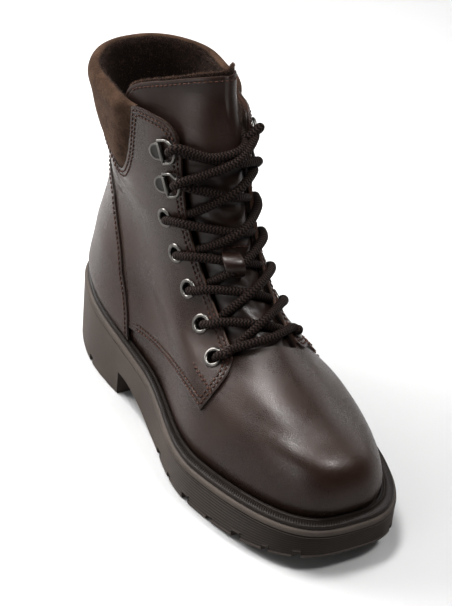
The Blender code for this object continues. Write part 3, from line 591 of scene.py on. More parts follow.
for name, at, toward, size, spin, power in room["boxes"]:
    lamp = bpy.data.lights.new(name, "AREA")
    lamp.shape = "RECTANGLE"
    lamp.size, lamp.size_y = size
    lamp.energy = power
    axis = unit(np.array(at) - np.array(toward))
    flat = unit(np.cross((0, 0, 1) if abs(axis[2]) < 0.95 else (0, 1, 0), axis))
    axes = np.column_stack([*spun(flat, np.cross(axis, flat), math.radians(spin)), axis])
    hang(name, lamp, axes, at)
floorMaterial, tree, shader, where = newMaterial("paleFloor", Roughness=0.9, Specular_IOR_Level=0.1)
shader.inputs["Base Color"].default_value = (room["floor"],) * 3 + (1,)
ends = np.linspace(-room["floorHalf"], room["floorHalf"], 9)
floorGrid = np.stack([*np.meshgrid(ends, ends, indexing="ij"), np.full((9, 9), -room["floorSink"])], -1)
putPiece("floor", floorGrid[:, ::-1], gridFaces(9, 9), floorMaterial)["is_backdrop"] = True
print("camera and light set")

# vamp and wall of the upper: rings of the last, slit at the throat, pierced under the eyelets
wall = {"roundCols": 190, "slitCols": 50, "lowRows": 60, "highRows": 56, "leather": 1.2, "hole": 4.4,
        "trim": 0.055, "innerTrim": 0.022, "liningLow": 0.05, "liningGap": 0.15,
        # soft swells across the vamp: height, rise, width; they fade out at this angle from the front
        "swells": ((0.4, 0.215, 0.045), (-0.8, 0.285, 0.035), (0.3, 0.36, 0.05)), "swellSide": 1.35,
        # wave of the fleece: height, waves per radian and per rise
        "wave": (0.1, 61, 310)}
eyeletPlaces = [(hand, *fitting(row, hand)) for hand in (-1, 1) for row in last["eyelets"]]
ringPlaces = [(hand, *fitting(row, hand)) for hand in (-1, 1) for row in last["ringPlates"]]


def ringTurns(rise):  # columns round the back between the throat edges, then across the throat
    circle = np.linspace(0, 1, wall["roundCols"] + 1)[None, :]
    slit = np.linspace(0, 1, wall["slitCols"] + 1)[None, 1:-1]
    outer, inner = throat(rise, -1)[:, None] + wall["trim"], throat(rise, 1)[:, None] - wall["innerTrim"]
    return np.hstack([outer + (inner - outer) * circle, inner + (2 * pi + outer - inner) * slit])


def vampRelief(turn, rise):  # sum of the swells across the front, fading to both sides
    across = 1 - smooth(np.abs((turn + 2 * pi) % (2 * pi) - pi) / wall["swellSide"])
    return across * sum(height * bell(rise - at, width) for height, at, width in wall["swells"])


def pierce(keep, centres, off, radius):  # drop the cells whose middle lies inside an eyelet's hole
    for hand, turn, rise in eyeletPlaces:
        keep &= np.linalg.norm(centres - form(turn, rise, off), axis=-1) > radius


throatLow = last["throatLow"]
lowRise = throatLow * np.linspace(0, 1, wall["lowRows"]) ** 0.9
highShare = np.linspace(0, 1, wall["highRows"] + 1)[1:]
turns = np.vstack([ringTurns(lowRise), ringTurns(throatLow + (1 - throatLow) * highShare)])
rises = np.repeat(lowRise[:, None], turns.shape[1], 1)
arc = np.sin(pi * np.linspace(0, 1, wall["slitCols"] + 1)[1:-1])
rises[:, wall["roundCols"] + 1:] += last["throatBow"] * arc * ((lowRise / throatLow) ** 5)[:, None]
crest = lookup(last["topEdge"], np.abs((turns[-1] + pi) % (2 * pi) - pi))
rises = np.vstack([rises, throatLow + highShare[:, None] * (crest - throatLow)])
relief = vampRelief(turns, rises)
outerWall = form(turns, rises, relief)
keep = np.ones((len(rises) - 1, turns.shape[1]), bool)
keep[wall["lowRows"] - 1:, wall["roundCols"]:] = False
centres = (outerWall[:-1] + outerWall[1:]) / 2
pierce(keep, (centres + np.roll(centres, -1, 1)) / 2, 0.0, wall["hole"])
points = layers(outerWall, form(turns, rises, relief - wall["leather"]))
noRim = np.full(len(points), farRim)
faces = slabFaces(*turns.shape, True, keep)
place(putPiece("upperShell", points, faces, leather, {"rim": noRim, "cut": noRim}), "upper_leather", "upper")
pile, perTurn, perRise = wall["wave"]
waved = -last["wall"] - pile * np.sin(turns * perTurn) * np.sin(rises * perRise)
points = layers(form(turns, rises, -wall["leather"] - wall["liningGap"]), form(turns, rises, waved))
faces = slabFaces(*turns.shape, True, keep & (rises > wall["liningLow"])[:-1])
place(putPiece("fleeceLining", points, faces, fleece), "insole_lining")
print("upper done")

# fibres: slim closed spikes leaning at random about a given direction
fuzz = {"radius": 0.13, "lean": 0.45, "tongue": 2200, "tongueLong": 1.7, "collar": 5000, "collarLong": 1.3,
        "fan": 0.3, "up": (0, 0, 0.5)}
chance = np.random.default_rng(7)


def hairs(spots, lead, length):  # a three-sided foot and a tip per place, as points and faces
    count = len(spots)
    aim = unit(unit(lead) + chance.normal(0, fuzz["lean"], (count, 3)))
    side = unit(np.cross(aim, chance.normal(size=(count, 3))))
    corner = np.array((0, 2 * pi / 3, 4 * pi / 3))[None, :, None]
    ring = side[:, None] * np.cos(corner) + np.cross(aim, side)[:, None] * np.sin(corner)
    tip = spots + aim * length * chance.uniform(0.4, 1.2, (count, 1))
    one = np.array(((0, 1, 3), (1, 2, 3), (2, 0, 3), (0, 2, 1)))
    faces = (one[None] + 4 * np.arange(count)[:, None, None]).reshape(-1, 3)
    return np.concatenate([spots[:, None] + fuzz["radius"] * ring, tip[:, None]], 1).reshape(-1, 3), faces


def between(grid, row, col):  # places on a grid of points at fractional rows and columns
    r, c = row.astype(int), col.astype(int)
    u, v = (row - r)[:, None], (col - c)[:, None]
    return (grid[r, c] * (1 - u) * (1 - v) + grid[r + 1, c] * u * (1 - v) + grid[r, c + 1] * (1 - u) * v
            + grid[r + 1, c + 1] * u * v)


# stitches: short capsules laid end to end along a line on the leather
stitching = {"pitch": 3.0, "length": 2.1, "radius": 0.40, "arch": 0.32, "sink": 0.12, "look": 0.4,
             "proud": 0.1, "sides": 6,
             # place along the capsule from -1 to 1, share of the radius
             "shape": ((-1, 0.35), (-0.86, 0.75), (-0.5, 1), (0, 1.04), (0.5, 1), (0.86, 0.75), (1, 0.35))}
stitchParts = []


def sew(line, normal):  # one arched capsule per pitch: rings along the line, closed by two quads at each end
    run = lengths(line)
    count = max(int(run[-1] / stitching["pitch"]), 1)
    at = (np.arange(count) + 0.5) * run[-1] / count
    centre = onLine(at, run, line)
    along = unit(onLine(at + stitching["look"], run, line) - onLine(at - stitching["look"], run, line))
    out = onLine(at, run, normal)
    out = unit(out - along * (out * along).sum(1, keepdims=True))
    s, thick = np.array(stitching["shape"]).T
    sides = stitching["sides"]
    circle = np.linspace(0, 2 * pi, sides, endpoint=False)
    radius = stitching["radius"] * thick[:, None]
    lift = stitching["arch"] * (1 - s ** 2) - stitching["sink"]
    px = np.repeat((s * stitching["length"] / 2)[:, None], sides, 1)
    py, pz = radius * np.cos(circle), radius * np.sin(circle) + lift[:, None]
    shape = centre[:, None, None] + sum(axis[:, None, None] * p[None, :, :, None] for axis, p in
                                        ((along, px), (np.cross(along, out), py), (out, pz)))
    caps = np.array([[0, 1, 2, 3], [0, 3, 4, 5], [39, 38, 37, 36], [41, 40, 39, 36]])
    one = np.concatenate([gridFaces(len(s), sides, wrap=True)[:, ::-1], caps])
    faces = (one[None] + px.size * np.arange(count)[:, None, None]).reshape(-1, 4)
    stitchParts.append((shape.reshape(-1, 3), faces))


def insetRow(field, turnGrid, riseGrid, distance):
    # per grid line, the place where the distance from a border reaches the wanted value
    reached = np.maximum.accumulate(field, axis=1)
    grids = (turnGrid, riseGrid)
    return [np.array([np.interp(distance, d, at) for d, at in zip(reached, grid)]) for grid in grids]


def sewInside(field, turnGrid, riseGrid, distance, off, border, clear, beyond=-1.0, above=-1.0):
    # a row at this distance from one border, clear of another, past an angle and above a rise
    turn, rise = insetRow(field, turnGrid, riseGrid, distance)
    line = form(turn, rise, off)
    kept = (distanceTo(line, border) > clear) & (np.abs(turn) > beyond) & (rise > above)
    if kept.sum() > 3:
        sew(line[kept], outward(turn[kept], rise[kept]))


def fromEnd(*grids):  # grids read by columns from their last row
    return [grid.T[:, ::-1] for grid in grids]


# quarters: ruled between the upper and lower borders, held to the throat at the front
quarter = {
    "cols": 150, "rows": 110, "thick": 1.4, "sink": 0.28, "roll": 1.2, "rowsIn": (2.3, 4.9), "hole": 4.4,
    "lowShift": 0.05, "blur": 0.012, "toeBlur": 0.05, "cutPast": 0.04, "clear": 0.3,
    # upper border and lower border as angle from the back and rise, each front to back
    "upper": ((2.456, 0.955), (2.43, 0.995), (2.385, 1.026), (2.32, 1.044), (2.23, 1.052), (2.09, 1.050),
              (1.95, 1.046), (1.80, 1.036), (1.76, 0.982), (1.716, 0.924), (1.657, 0.864), (1.59, 0.82),
              (1.50, 0.782), (1.42, 0.757), (1.34, 0.742), (1.26, 0.738), (1.19, 0.748), (1.12, 0.774),
              (0.98, 0.795), (0.75, 0.81), (0.40, 0.825), (0.008, 0.83)),
    "lower": ((1.995, 0.180), (1.905, 0.193), (1.79, 0.193), (1.65, 0.174), (1.47, 0.138), (1.37, 0.124),
              (1.27, 0.106), (1.185, 0.075), (1.125, 0.30), (1.10, 0.44), (0.95, 0.585), (0.50, 0.66),
              (0.008, 0.675)),
    "matched": ((0.0, 0.0), (0.16, 0.07), (0.34, 0.18), (0.52, 0.29), (0.60, 0.36), (0.66, 0.44),
                (0.74, 0.66), (1.0, 1.0)),
    # front border below the throat: share of the rows above it, then angle from the back and rise
    "toeShare": 0.70,
    "toe": ((2.502, 0.470), (2.482, 0.452), (2.415, 0.422), (2.309, 0.380), (2.203, 0.334), (2.093, 0.275),
            (2.034, 0.226), (1.995, 0.180)),
    "innerTurn": -0.11, "innerRise": 0.050,  # the inner corner lies higher and further back
    # short rows that hold the corner: angle and rise of the ends, shifts, lift on the inner side
    "corner": ((1.955, 0.308), (2.085, 0.266)), "cornerRows": (0.0, 0.0125), "cornerLift": 0.03,
    # troughs behind the ankle: height, rise, slope, width; middle and half span round the last
    "creases": ((-0.50, 0.706, 0.06, 0.011), (-0.45, 0.672, -0.03, 0.012), (-0.40, 0.632, 0.05, 0.013),
                (0.30, 0.690, 0.0, 0.010)), "ankle": (1.25, 0.34),
    # where the rows along the lower and the upper border start, and the free part of the upper border
    "lowFrom": 1.27, "topFrom": 0.1, "freeTop": 1.70}


def ankleCreases(turn, rise):  # sum of three sloping troughs and a low ridge, fading away from the ankle
    middle, span = quarter["ankle"]
    apart = np.abs(turn) - middle
    folds = (tall * bell(rise - at - slope * apart, width) for tall, at, slope, width in quarter["creases"])
    return sum(folds) * bell(apart, span)


q = spread(quarter["rows"])
q = q + quarter["lowShift"] * np.sin(pi * q)
s = spread(quarter["cols"], 0.6)
upper = softLine(quarter["upper"], s, quarter["blur"])
lower = softLine(quarter["lower"], lookup(quarter["matched"], s), quarter["blur"])
toeShare = quarter["toeShare"]
below = np.clip((q - toeShare) / (1 - toeShare), 0, 1)
toe = softLine(quarter["toe"], below, quarter["toeBlur"])
throatTop, throatEnd = quarter["upper"][0][1], quarter["toe"][0][1]
onThroat = throatTop + (throatEnd - throatTop) * q / toeShare
skinOff = last["lap"] + last["skin"]
height = skinOff + stitching["proud"]
for name, hand in (("Outer", -1), ("Inner", 1)):
    angle, rise = (upper[:, i] + (lower - upper)[:, i] * q[:, None] for i in (0, 1))
    edgeRise = np.where(q < toeShare, onThroat, toe[:, 1])
    edgeTurn = np.where(q < toeShare, np.abs(throat(edgeRise, hand)), toe[:, 0])
    if hand > 0:
        edgeTurn = edgeTurn + quarter["innerTurn"] * smooth(below)
        edgeRise = edgeRise + quarter["innerRise"] * smooth(below)
    hold = (1 - s) ** 3
    angle = hand * (angle + (edgeTurn - angle[:, 0])[:, None] * hold)
    rise = rise + (edgeRise - rise[:, 0])[:, None] * hold
    base = form(angle, rise, skinOff)
    front, low, top = (distanceTo(base, line) for line in (base[:, 0], base[-1], base[0]))
    free = np.abs(angle[0]) > quarter["freeTop"]
    bare = np.minimum(np.minimum(front, low), distanceTo(base, base[0, free]))
    sink = quarter["sink"] * (1 - smooth(bare / quarter["roll"])) ** 1.5
    off = skinOff - sink + ankleCreases(angle, rise)
    rim = np.minimum(np.minimum(front, low), top)
    cut = np.where(q[:, None] < toeShare + quarter["cutPast"], front, farRim)
    outerSkin, innerSkin = form(angle, rise, off), form(angle, rise, off - quarter["thick"])
    outerSkin, innerSkin, rim, cut = (grid[::-1, ::-hand] for grid in (outerSkin, innerSkin, rim, cut))
    centres = (outerSkin[:-1, :-1] + outerSkin[1:, 1:]) / 2
    keep = np.ones(centres.shape[:2], bool)
    pierce(keep, centres, skinOff, quarter["hole"])
    marks = {"rim": values(rim, rim + farRim), "cut": values(cut, 0 * cut)}
    faces = slabFaces(*rim.shape, keep=keep)
    piece = putPiece("quarter" + name, layers(outerSkin, innerSkin), faces, leather, marks)
    place(piece, "upper_leather", "quarter_" + name.lower())
    for shift in quarter["cornerRows"]:
        turn, up = np.linspace(*quarter["corner"], 12).T
        turn, up = hand * turn, up + shift + (quarter["cornerLift"] if hand > 0 else 0)
        sew(form(turn, up, height), outward(turn, up))
    for distance in quarter["rowsIn"]:
        sewInside(front, angle, rise, distance, height, base[-1], distance + quarter["clear"])
        sewInside(*fromEnd(low, angle, rise), distance, height, base[:, 0], distance, quarter["lowFrom"])
        sewInside(top.T, angle.T, rise.T, distance, height, base[:, 0], distance, quarter["topFrom"])
print("quarters done")

# heel counter: a skin round the back, lapped over the quarters
counter = {
    "cols": 130, "rows": 80, "off": 2.9, "thick": 1.5, "low": 0.03, "lapTurn": 0.045, "lapRise": 0.012,
    "sink": 0.3, "roll": 1.2, "rowIn": 2.3, "rowLow": 0.05,
    "side": ((0.045, 1.185), (0.092, 1.185), (0.30, 1.105), (0.44, 1.078), (0.562, 0.925)),
    "top": ((0.0, 0.668), (0.53, 0.652), (0.80, 0.612), (1.0, 0.562))}
across = 2 * spread(counter["cols"]) - 1
lift = spread(counter["rows"])[:, None]
sideLow, sideTop = counter["side"][0][0], counter["side"][-1][0]
angle = across * (curve(counter["side"], sideLow + (sideTop - sideLow) * lift) + counter["lapTurn"])
topLine = curve(counter["top"], np.abs(across)) + counter["lapRise"]
rise = counter["low"] + (topLine - counter["low"]) * lift
base = form(angle, rise, counter["off"])
sideLines = np.concatenate([base[:, 0], base[:, -1]])
sides, top = distanceTo(base, sideLines), distanceTo(base, base[-1])
rim = np.minimum(sides, top)
off = counter["off"] - counter["sink"] * (1 - smooth(rim / counter["roll"])) ** 1.5
points = layers(form(angle, rise, off), form(angle, rise, off - counter["thick"]))
marks = {"rim": values(np.minimum(rim, oneRow), rim + farRim), "cut": np.full(2 * rim.size, farRim)}
place(putPiece("heelCounter", points, slabFaces(*rim.shape), leather, marks), "upper_leather", "heel_counter")
height, distance, middle = counter["off"] + stitching["proud"], counter["rowIn"], counter["cols"] // 2
for half in (slice(0, middle), slice(None, middle - 1, -1)):
    grids = (grid[:, half] for grid in (sides, angle, rise))
    sewInside(*grids, distance, height, base[-1], distance, above=counter["rowLow"])
sewInside(*fromEnd(top, angle, rise), distance, height, sideLines, distance)
print("counter done")

# collar: suede pad folded over the top edge; each row gives the pad's face and the bed behind it
collar = {
    "cols": 200, "rows": 75, "fleeceFrom": 0.685, "fleeceOver": 0.02, "fibreRows": (0.70, 0.93),
    "front": ((0.72, 1.39), (0.764, 1.47), (0.82, 1.61), (0.864, 1.68), (0.924, 1.74), (0.982, 1.785),
              (1.05, 1.82)),
    "low": ((0.0, 0.825), (0.25, 0.82), (0.46, 0.806), (0.62, 0.790), (0.72, 0.768), (0.80, 0.740),
            (0.87, 0.732), (0.94, 0.742), (1.0, 0.768)),
    # share of the way from the lower border to the rim, off of the face, off of the bed
    "face": ((-0.05, 0.25, 0.05), (0.03, 1.0, 0.05), (0.12, 2.5, 0.05), (0.36, 4.2, 0.05), (0.75, 4.6, 0.05)),
    # over the rim: rise and off of the face, rise and off of the bed
    "roll": ((1.012, 4.0, 1.000, 0.05), (1.028, 2.0, 1.008, 0.05), (1.031, -1.2, 1.008, -1.2),
             (1.018, -4.2, 1.008, -2.7), (0.975, -5.2, 0.97, -2.7), (0.90, -4.3, 0.90, -2.7),
             (0.84, -2.8, 0.845, -2.7)),
    "knots": (0, 2, 6, 15, 29, 41, 45, 49, 54, 63, 71, 74),  # the grid row of each of these
    # toward the front ends the pad thins to these offs over this share of its half
    "thinOut": 0.3, "thinIn": -2.65, "thinOver": 0.13, "thinEnd": 1.004, "thinPower": 0.6}
across = np.linspace(-1, 1, collar["cols"])
bottom = curve(collar["low"], np.abs(across))
face, roll = np.array(collar["face"])[..., None], np.array(collar["roll"])[..., None]
faceRise = np.concatenate([bottom + (1 - bottom) * face[:, 0], roll[:, 0] + 0 * bottom])
bedRise = np.concatenate([bottom + (1 - bottom) * np.maximum(face[:, 0], 0), roll[:, 2] + 0 * bottom])
down = np.linspace(0, 1, collar["rows"])
knots = np.array(collar["knots"]) / (collar["rows"] - 1)
weights = hermite(np.column_stack([knots, np.eye(len(knots))]), down)
rise, bedRise = weights @ faceRise, weights @ bedRise
off = weights @ np.concatenate([face[:, 1], roll[:, 1]]) + 0 * rise
bedOff = weights @ np.concatenate([face[:, 2], roll[:, 3]])
taper = smooth((collar["thinEnd"] - np.abs(across)) / collar["thinOver"]) ** collar["thinPower"]
thinOut, thinIn = (thin + (off - thin) * taper for thin in (collar["thinOut"], collar["thinIn"]))
off = np.where(off > 0, np.minimum(off, thinOut), thinIn)
turn = across * lookup(collar["front"], rise)
padFace = form(turn, rise, off)
bed = form(across * lookup(collar["front"], bedRise), bedRise, bedOff)
inside = smooth((down - collar["fleeceFrom"]) / collar["fleeceOver"])[:, None] + 0 * rise
row = chance.uniform(*collar["fibreRows"], fuzz["collar"]) * (collar["rows"] - 1)
col = chance.uniform(1, collar["cols"] - 2, fuzz["collar"])
lead = -between(outward(turn, rise), row, col) + fuzz["up"]
fibres = hairs(between(padFace, row, col), lead, fuzz["collarLong"])
place(putPiece("collarFibres", *fibres, fibre), "insole_lining")
marks = {"fleece": values(inside, inside)}
pad = putPiece("collarPad", layers(padFace, bed), slabFaces(*rise.shape), suede, marks)
place(pad, "collar_suede", "collar")
print("collar done")

# tongue: behind the throat, its wings dipping to let the lace run under the facings
tongue = {
    "cols": 110, "rows": 140, "low": 0.42, "high": 1.20, "leather": 1.3, "fleece": 2.4,
    "sink": 0.4, "roll": 1.4, "rimShift": 0.3, "cutShift": 0.5, "fleeceGap": 0.1, "fleeceRoll": 2.5,
    "fleeceEdge": 0.35, "tipFrom": 0.86,
    # side borders: rise on the centre line, radians from the centre line on the outer and the inner side
    "side": ((0.42, -0.66, 0.66), (0.55, -0.82, 0.82), (0.70, -1.0, 0.92), (0.85, -1.18, 0.94),
             (1.0, -1.38, 0.92), (1.12, -1.52, 0.90), (1.20, -1.56, 0.90)),
    # top border and how far the fleece stands above it: radians from the centre line, rise
    "top": ((-1.56, 1.025), (-1.50, 1.055), (-1.42, 1.078), (-1.30, 1.100), (-1.0, 1.140), (-0.6, 1.178),
            (-0.3, 1.193), (0.0, 1.198), (0.3, 1.198), (0.6, 1.190), (0.8, 1.176), (0.9, 1.160)),
    "fleeceTop": ((-1.56, 0.004), (-0.6, 0.009), (-0.1, 0.010), (0.2, 0.014), (0.42, 0.020), (0.56, 0.023),
                  (0.74, 0.018), (0.9, 0.006)),
    # lean of the top toward the foot: radians from the centre line, millimetres
    "lean": ((-1.56, 2.0), (-1.3, 5.0), (-0.9, 10.0), (-0.3, 11.5), (0.0, 10.0), (0.3, 6.6), (0.6, 5.2),
             (0.9, 5.0)), "leanFrom": 0.93, "leanOver": 0.22,
    "dip": 3.8, "dipFrom": 0.66, "dipOver": 0.14, "dipEnd": 0.07, "crease": 0.26,
    # top stitch row: distance in and its ends; the row that holds the keeper's patch: ends, rise, bow
    "rowIn": 2.5, "rowEnds": (-1.45, 0.84), "patch": (-0.62, 0.34), "patchRise": 0.716, "patchBow": 0.11,
    "patchMiddle": -0.05, "patchOff": 0.2}
bedded = -last["wall"] - last["gap"]


def leaning(away, rise):  # how far the top leans in, growing over the upper rows
    return curve(tongue["lean"], away) * smooth((rise - tongue["leanFrom"]) / tongue["leanOver"])


def tongueCreases(away, rise):  # two crossing sines as soft wrinkles between the strands
    wave = np.sin(rise * 150 + 3 * away + 2 * np.sin(away * 5)) + 0.6 * np.sin(rise * 95 - 6 * away)
    fade = (1 - smooth((rise - 0.88) / 0.1)) * (1 - smooth((np.abs(away) - 0.5) / 0.3))
    return tongue["crease"] * wave * fade


v = spread(tongue["rows"], 0.4)[:, None]
lift = tongue["low"] + (tongue["high"] - tongue["low"]) * v
outer, inner = lookup(tongue["side"], lift, 1), lookup(tongue["side"], lift, 2)
away = outer + (inner - outer) * spread(tongue["cols"], 0.5)
rise = tongue["low"] + (curve(tongue["top"], away) - tongue["low"]) * v
dip = smooth((np.abs(away) - tongue["dipFrom"]) / tongue["dipOver"])
dip *= tongue["dip"] * (1 - smooth((rise - tongue["leanFrom"]) / tongue["dipEnd"]))
off = bedded - leaning(away, rise) - dip
turn = pi - away
base = form(turn, rise, off)
fromTop = distanceTo(base, base[-1])
rim = np.minimum(fromTop, distanceTo(base, np.concatenate([base[:, 0], base[:, -1]])))
off = off + tongueCreases(away, rise) - tongue["sink"] * (1 - smooth(rim / tongue["roll"])) ** 1.5
faces = slabFaces(*rim.shape)[:, ::-1]
points = layers(*(form(turn, rise, off - t) for t in (0, tongue["leather"])))
topRim = np.minimum(fromTop - tongue["rimShift"], oneRow)
marks = {"rim": values(topRim, 0 * rim + farRim), "cut": values(rim + tongue["cutShift"], 0 * rim)}
place(putPiece("tongueShell", points, faces, tongueLeather, marks), "upper_leather", "tongue")
swell = tongue["fleece"] * smooth(rim / tongue["fleeceRoll"] + tongue["fleeceEdge"])
tip = smooth((v - tongue["tipFrom"]) / (1 - tongue["tipFrom"]))
above = rise + curve(tongue["fleeceTop"], away) * tip
front, rear = (form(turn, above, off - tongue["leather"] - t) for t in (tongue["fleeceGap"], swell))
place(putPiece("tongueFleece", layers(front, rear), faces, fleece), "insole_lining")
row = chance.uniform(tongue["rows"] - 3, tongue["rows"] - 1.02, fuzz["tongue"])
col = chance.uniform(1, tongue["cols"] - 2, fuzz["tongue"])
depth = chance.uniform(0, 1, (fuzz["tongue"], 1))
spots = between(front, row, col) * (1 - depth) + between(rear, row, col) * depth
lead = unit(between(front, row, col) - between(front, row - 3, col))
lead = lead + fuzz["fan"] * (0.5 - depth) * between(outward(turn, above), row, col)
fibres = hairs(spots, lead, fuzz["tongueLong"])
# the tongue's fringe takes the lighter, painted-light copy of the fibre colour
place(putPiece("tongueFibres", *fibres, paintedLitFibre), "insole_lining")
seam, up = insetRow(*fromEnd(fromTop, away, rise), tongue["rowIn"])
kept = (seam > tongue["rowEnds"][0]) & (seam < tongue["rowEnds"][1])
seam, up = seam[kept], up[kept]
sew(form(pi - seam, up, bedded - leaning(seam, up) + stitching["proud"]), outward(pi - seam, up))
patch = np.linspace(*tongue["patch"], 60)
up = tongue["patchRise"] - tongue["patchBow"] * (patch - tongue["patchMiddle"]) ** 2
sew(form(pi - patch, up, bedded + tongue["patchOff"]), outward(pi - patch, up))

# lace keeper: a strap arched over one crossing
keeper = {"rise": 0.676, "away": -0.165, "half": 0.125, "span": 0.058, "foot": 1.2, "arch": 8.9, "thick": 1.2,
          "power": 0.4, "edge": 0.35, "edgeLong": 7, "cutShift": 0.4, "rows": 60, "cols": 26}
arch = np.linspace(0, 1, keeper["rows"])[:, None]
width = 2 * spread(keeper["cols"]) - 1
bow = keeper["arch"] * np.sin(pi * arch) ** keeper["power"]
off = keeper["foot"] - last["wall"] + bow - keeper["edge"] * width ** 8
turn = pi - keeper["away"] + keeper["half"] * width + 0 * arch
rise = keeper["rise"] + keeper["span"] * (arch - 0.5) + 0 * width
points = layers(form(turn, rise, off), form(turn, rise, off - keeper["thick"]))
edge = (1 - np.abs(width)) * keeper["edgeLong"] + 0 * arch
marks = {"rim": values(edge + farRim, edge + farRim), "cut": values(edge + keeper["cutShift"], 0 * edge)}
piece = putPiece("tongueLoop", points, slabFaces(*edge.shape), tongueLeather, marks)
place(piece, "upper_leather", "tongue_loop")
print("tongue done")


def seatAt(turn, rise, off, toward):  # origin and axes: x toward the throat, y up the boot, z outward
    turn, rise = np.float64(turn), np.float64(rise)
    z = outward(turn, rise)
    x = surface(turn + 0.01 * toward, rise) - surface(turn, rise)
    x = unit(x - z * (x @ z))
    return form(turn, rise, off), np.stack([x, -toward * np.cross(z, x), z])


def seated(grid, origin, axes, hand):  # a part drawn about its seat, right-handed on both sides
    return origin + grid @ (axes * np.array([[1], [-hand], [1]]))


# eyelets: a rounded flange and a tube, turned about the axis; radius and height
eyelet = {"base": 1.75, "sides": 40, "widen": 1.07,
          "profile": ((3.3, -3.4), (4.1, -3.4), (4.1, -0.3), (5.35, -0.2), (5.6, 0.05), (5.55, 0.4),
                      (5.2, 0.85), (4.7, 1.1), (4.2, 1.15), (3.75, 1.0), (3.42, 0.6), (3.3, 0.0))}
radius, height = np.array(eyelet["profile"]).T[..., None]
circle = np.linspace(0, 2 * pi, eyelet["sides"], endpoint=False)
radius = radius * eyelet["widen"]
turned = np.stack([radius * np.cos(circle), radius * np.sin(circle), height + 0 * circle], -1)
parts = [part(seated(turned, *seatAt(turn, rise, eyelet["base"], hand), hand), True)
         for hand, turn, rise in eyeletPlaces]
place(putPiece("eyelets", *joined(parts), gunmetal, crease=50), "hardware", *bothSides("eyelet", 5))


def tube(path, radius, sides, closed=False):
    # frames carried along the path without twist, then a circle at each
    ahead = np.roll(path, -1, 0) - np.roll(path, 1, 0)
    if not closed:
        ahead[0], ahead[-1] = path[1] - path[0], path[-1] - path[-2]
    ahead = unit(ahead)
    normals = [unit(np.cross(ahead[0], (0.31, 0.55, 0.77)))]
    for along in ahead[1:]:
        normals.append(unit(normals[-1] - along * (normals[-1] @ along)))
    normals = np.array(normals)
    side = np.cross(ahead, normals)
    twist = 0.0
    if closed:  # spread the leftover twist along the loop
        n = normals[-1] - ahead[0] * (normals[-1] @ ahead[0])
        twist = math.atan2(n @ side[0], n @ normals[0])
    around = np.linspace(0, 2 * pi, sides, endpoint=False) - (np.linspace(0, 1, len(path)) * twist)[:, None]
    ring = normals[:, None] * np.cos(around)[..., None] + side[:, None] * np.sin(around)[..., None]
    return path[:, None] + ring * np.reshape(radius, (-1, 1, 1))


def smoothPath(points, step):  # a smooth curve through the points, evenly spaced
    length = np.linalg.norm(np.diff(points, axis=0), axis=1)
    knots = np.concatenate([[0], np.cumsum(np.sqrt(length))])
    dense = hermite(np.column_stack([knots, points]), np.linspace(0, knots[-1], 40 * len(points)))
    run = lengths(dense)
    return onLine(np.linspace(0, run[-1], max(int(run[-1] / step), 4)), run, dense)


# ring plates with a knuckle, and the D-rings hanging in them
ringKit = {"seat": 1.8, "back": 1.2, "plate": 5.3, "long": 1.3, "knuckleX": 4.4, "knuckleZ": 1.9,
           "knuckle": 1.35, "barDrop": 0.2, "barSides": 24, "steps": 40, "wire": 0.90, "wireSides": 14,
           "reach": 6.0, "start": 5.0, "half": 6.8, "sag": 0.5, "tilt": 0.46,
           # plate from its edge inward: share of the outline, height; the field inside the rim gets a painted
           # dark reflection
           "levels": ((1.0, -0.35), (1.0, 0.55), (0.975, 0.85), (0.93, 1.02), (0.86, 1.1), (0.78, 1.02),
                      (0.74, 0.86), (0.55, 0.70), (0.3, 0.60), (0.02, 0.56)), "darkReflectionFrom": 0.76,
           # knuckle bar: place along it, share of the radius
           "bar": ((-5.2, 0.05), (-5.1, 0.8), (-4.8, 1), (4.8, 1), (5.1, 0.8), (5.2, 0.05))}
angles = np.linspace(pi / 2, 3 * pi / 2, ringKit["steps"])
tab = np.column_stack([np.cos(angles) * ringKit["long"], np.sin(angles)]) * ringKit["plate"]
front = [(ringKit["knuckleX"], ringKit["plate"] * share) for share in np.linspace(-1, 1, 14)]
tab = np.concatenate([tab, front])
plateGrid = np.stack([np.column_stack([tab * k, np.full(len(tab), z)]) for k, z in ringKit["levels"]])
barLong, barRadius = np.array(ringKit["bar"]).T[..., None]
barRadius = ringKit["knuckle"] * barRadius
circle = np.linspace(0, 2 * pi, ringKit["barSides"], endpoint=False)
wireX, wireZ, wireHalf = ringKit["knuckleX"], ringKit["knuckleZ"], ringKit["half"]
barGrid = np.stack([wireX + barRadius * np.cos(circle), barLong + 0 * circle,
                    wireZ - ringKit["barDrop"] + barRadius * np.sin(circle)], -1)
bend = np.linspace(-pi / 2, pi / 2, ringKit["steps"])
bow = np.column_stack([wireX + ringKit["start"] + ringKit["reach"] * np.cos(bend), wireHalf * np.sin(bend),
                       wireZ - ringKit["sag"] * np.cos(bend)])
straight = [(wireX, y, wireZ) for y in np.linspace(wireHalf, -wireHalf, 20)]
loop = np.vstack([straight[-1:], bow, straight[:-1]])
# painted dark reflection: the recessed field of each plate is marked for a darker colour
darkReflection = np.repeat([float(k < ringKit["darkReflectionFrom"]) for k, z in ringKit["levels"]], len(tab))
darkReflection = np.concatenate([darkReflection, np.zeros(barGrid[..., 0].size)])


def ringSeat(hand, turn, rise):  # the seat's axes turned about the normal, so the ring points up the throat
    origin, axes = seatAt(turn, rise, ringKit["seat"], hand)
    axes = np.stack([*spun(axes[0], axes[1], ringKit["tilt"]), axes[2]])
    return origin - axes[0] * ringKit["back"], axes


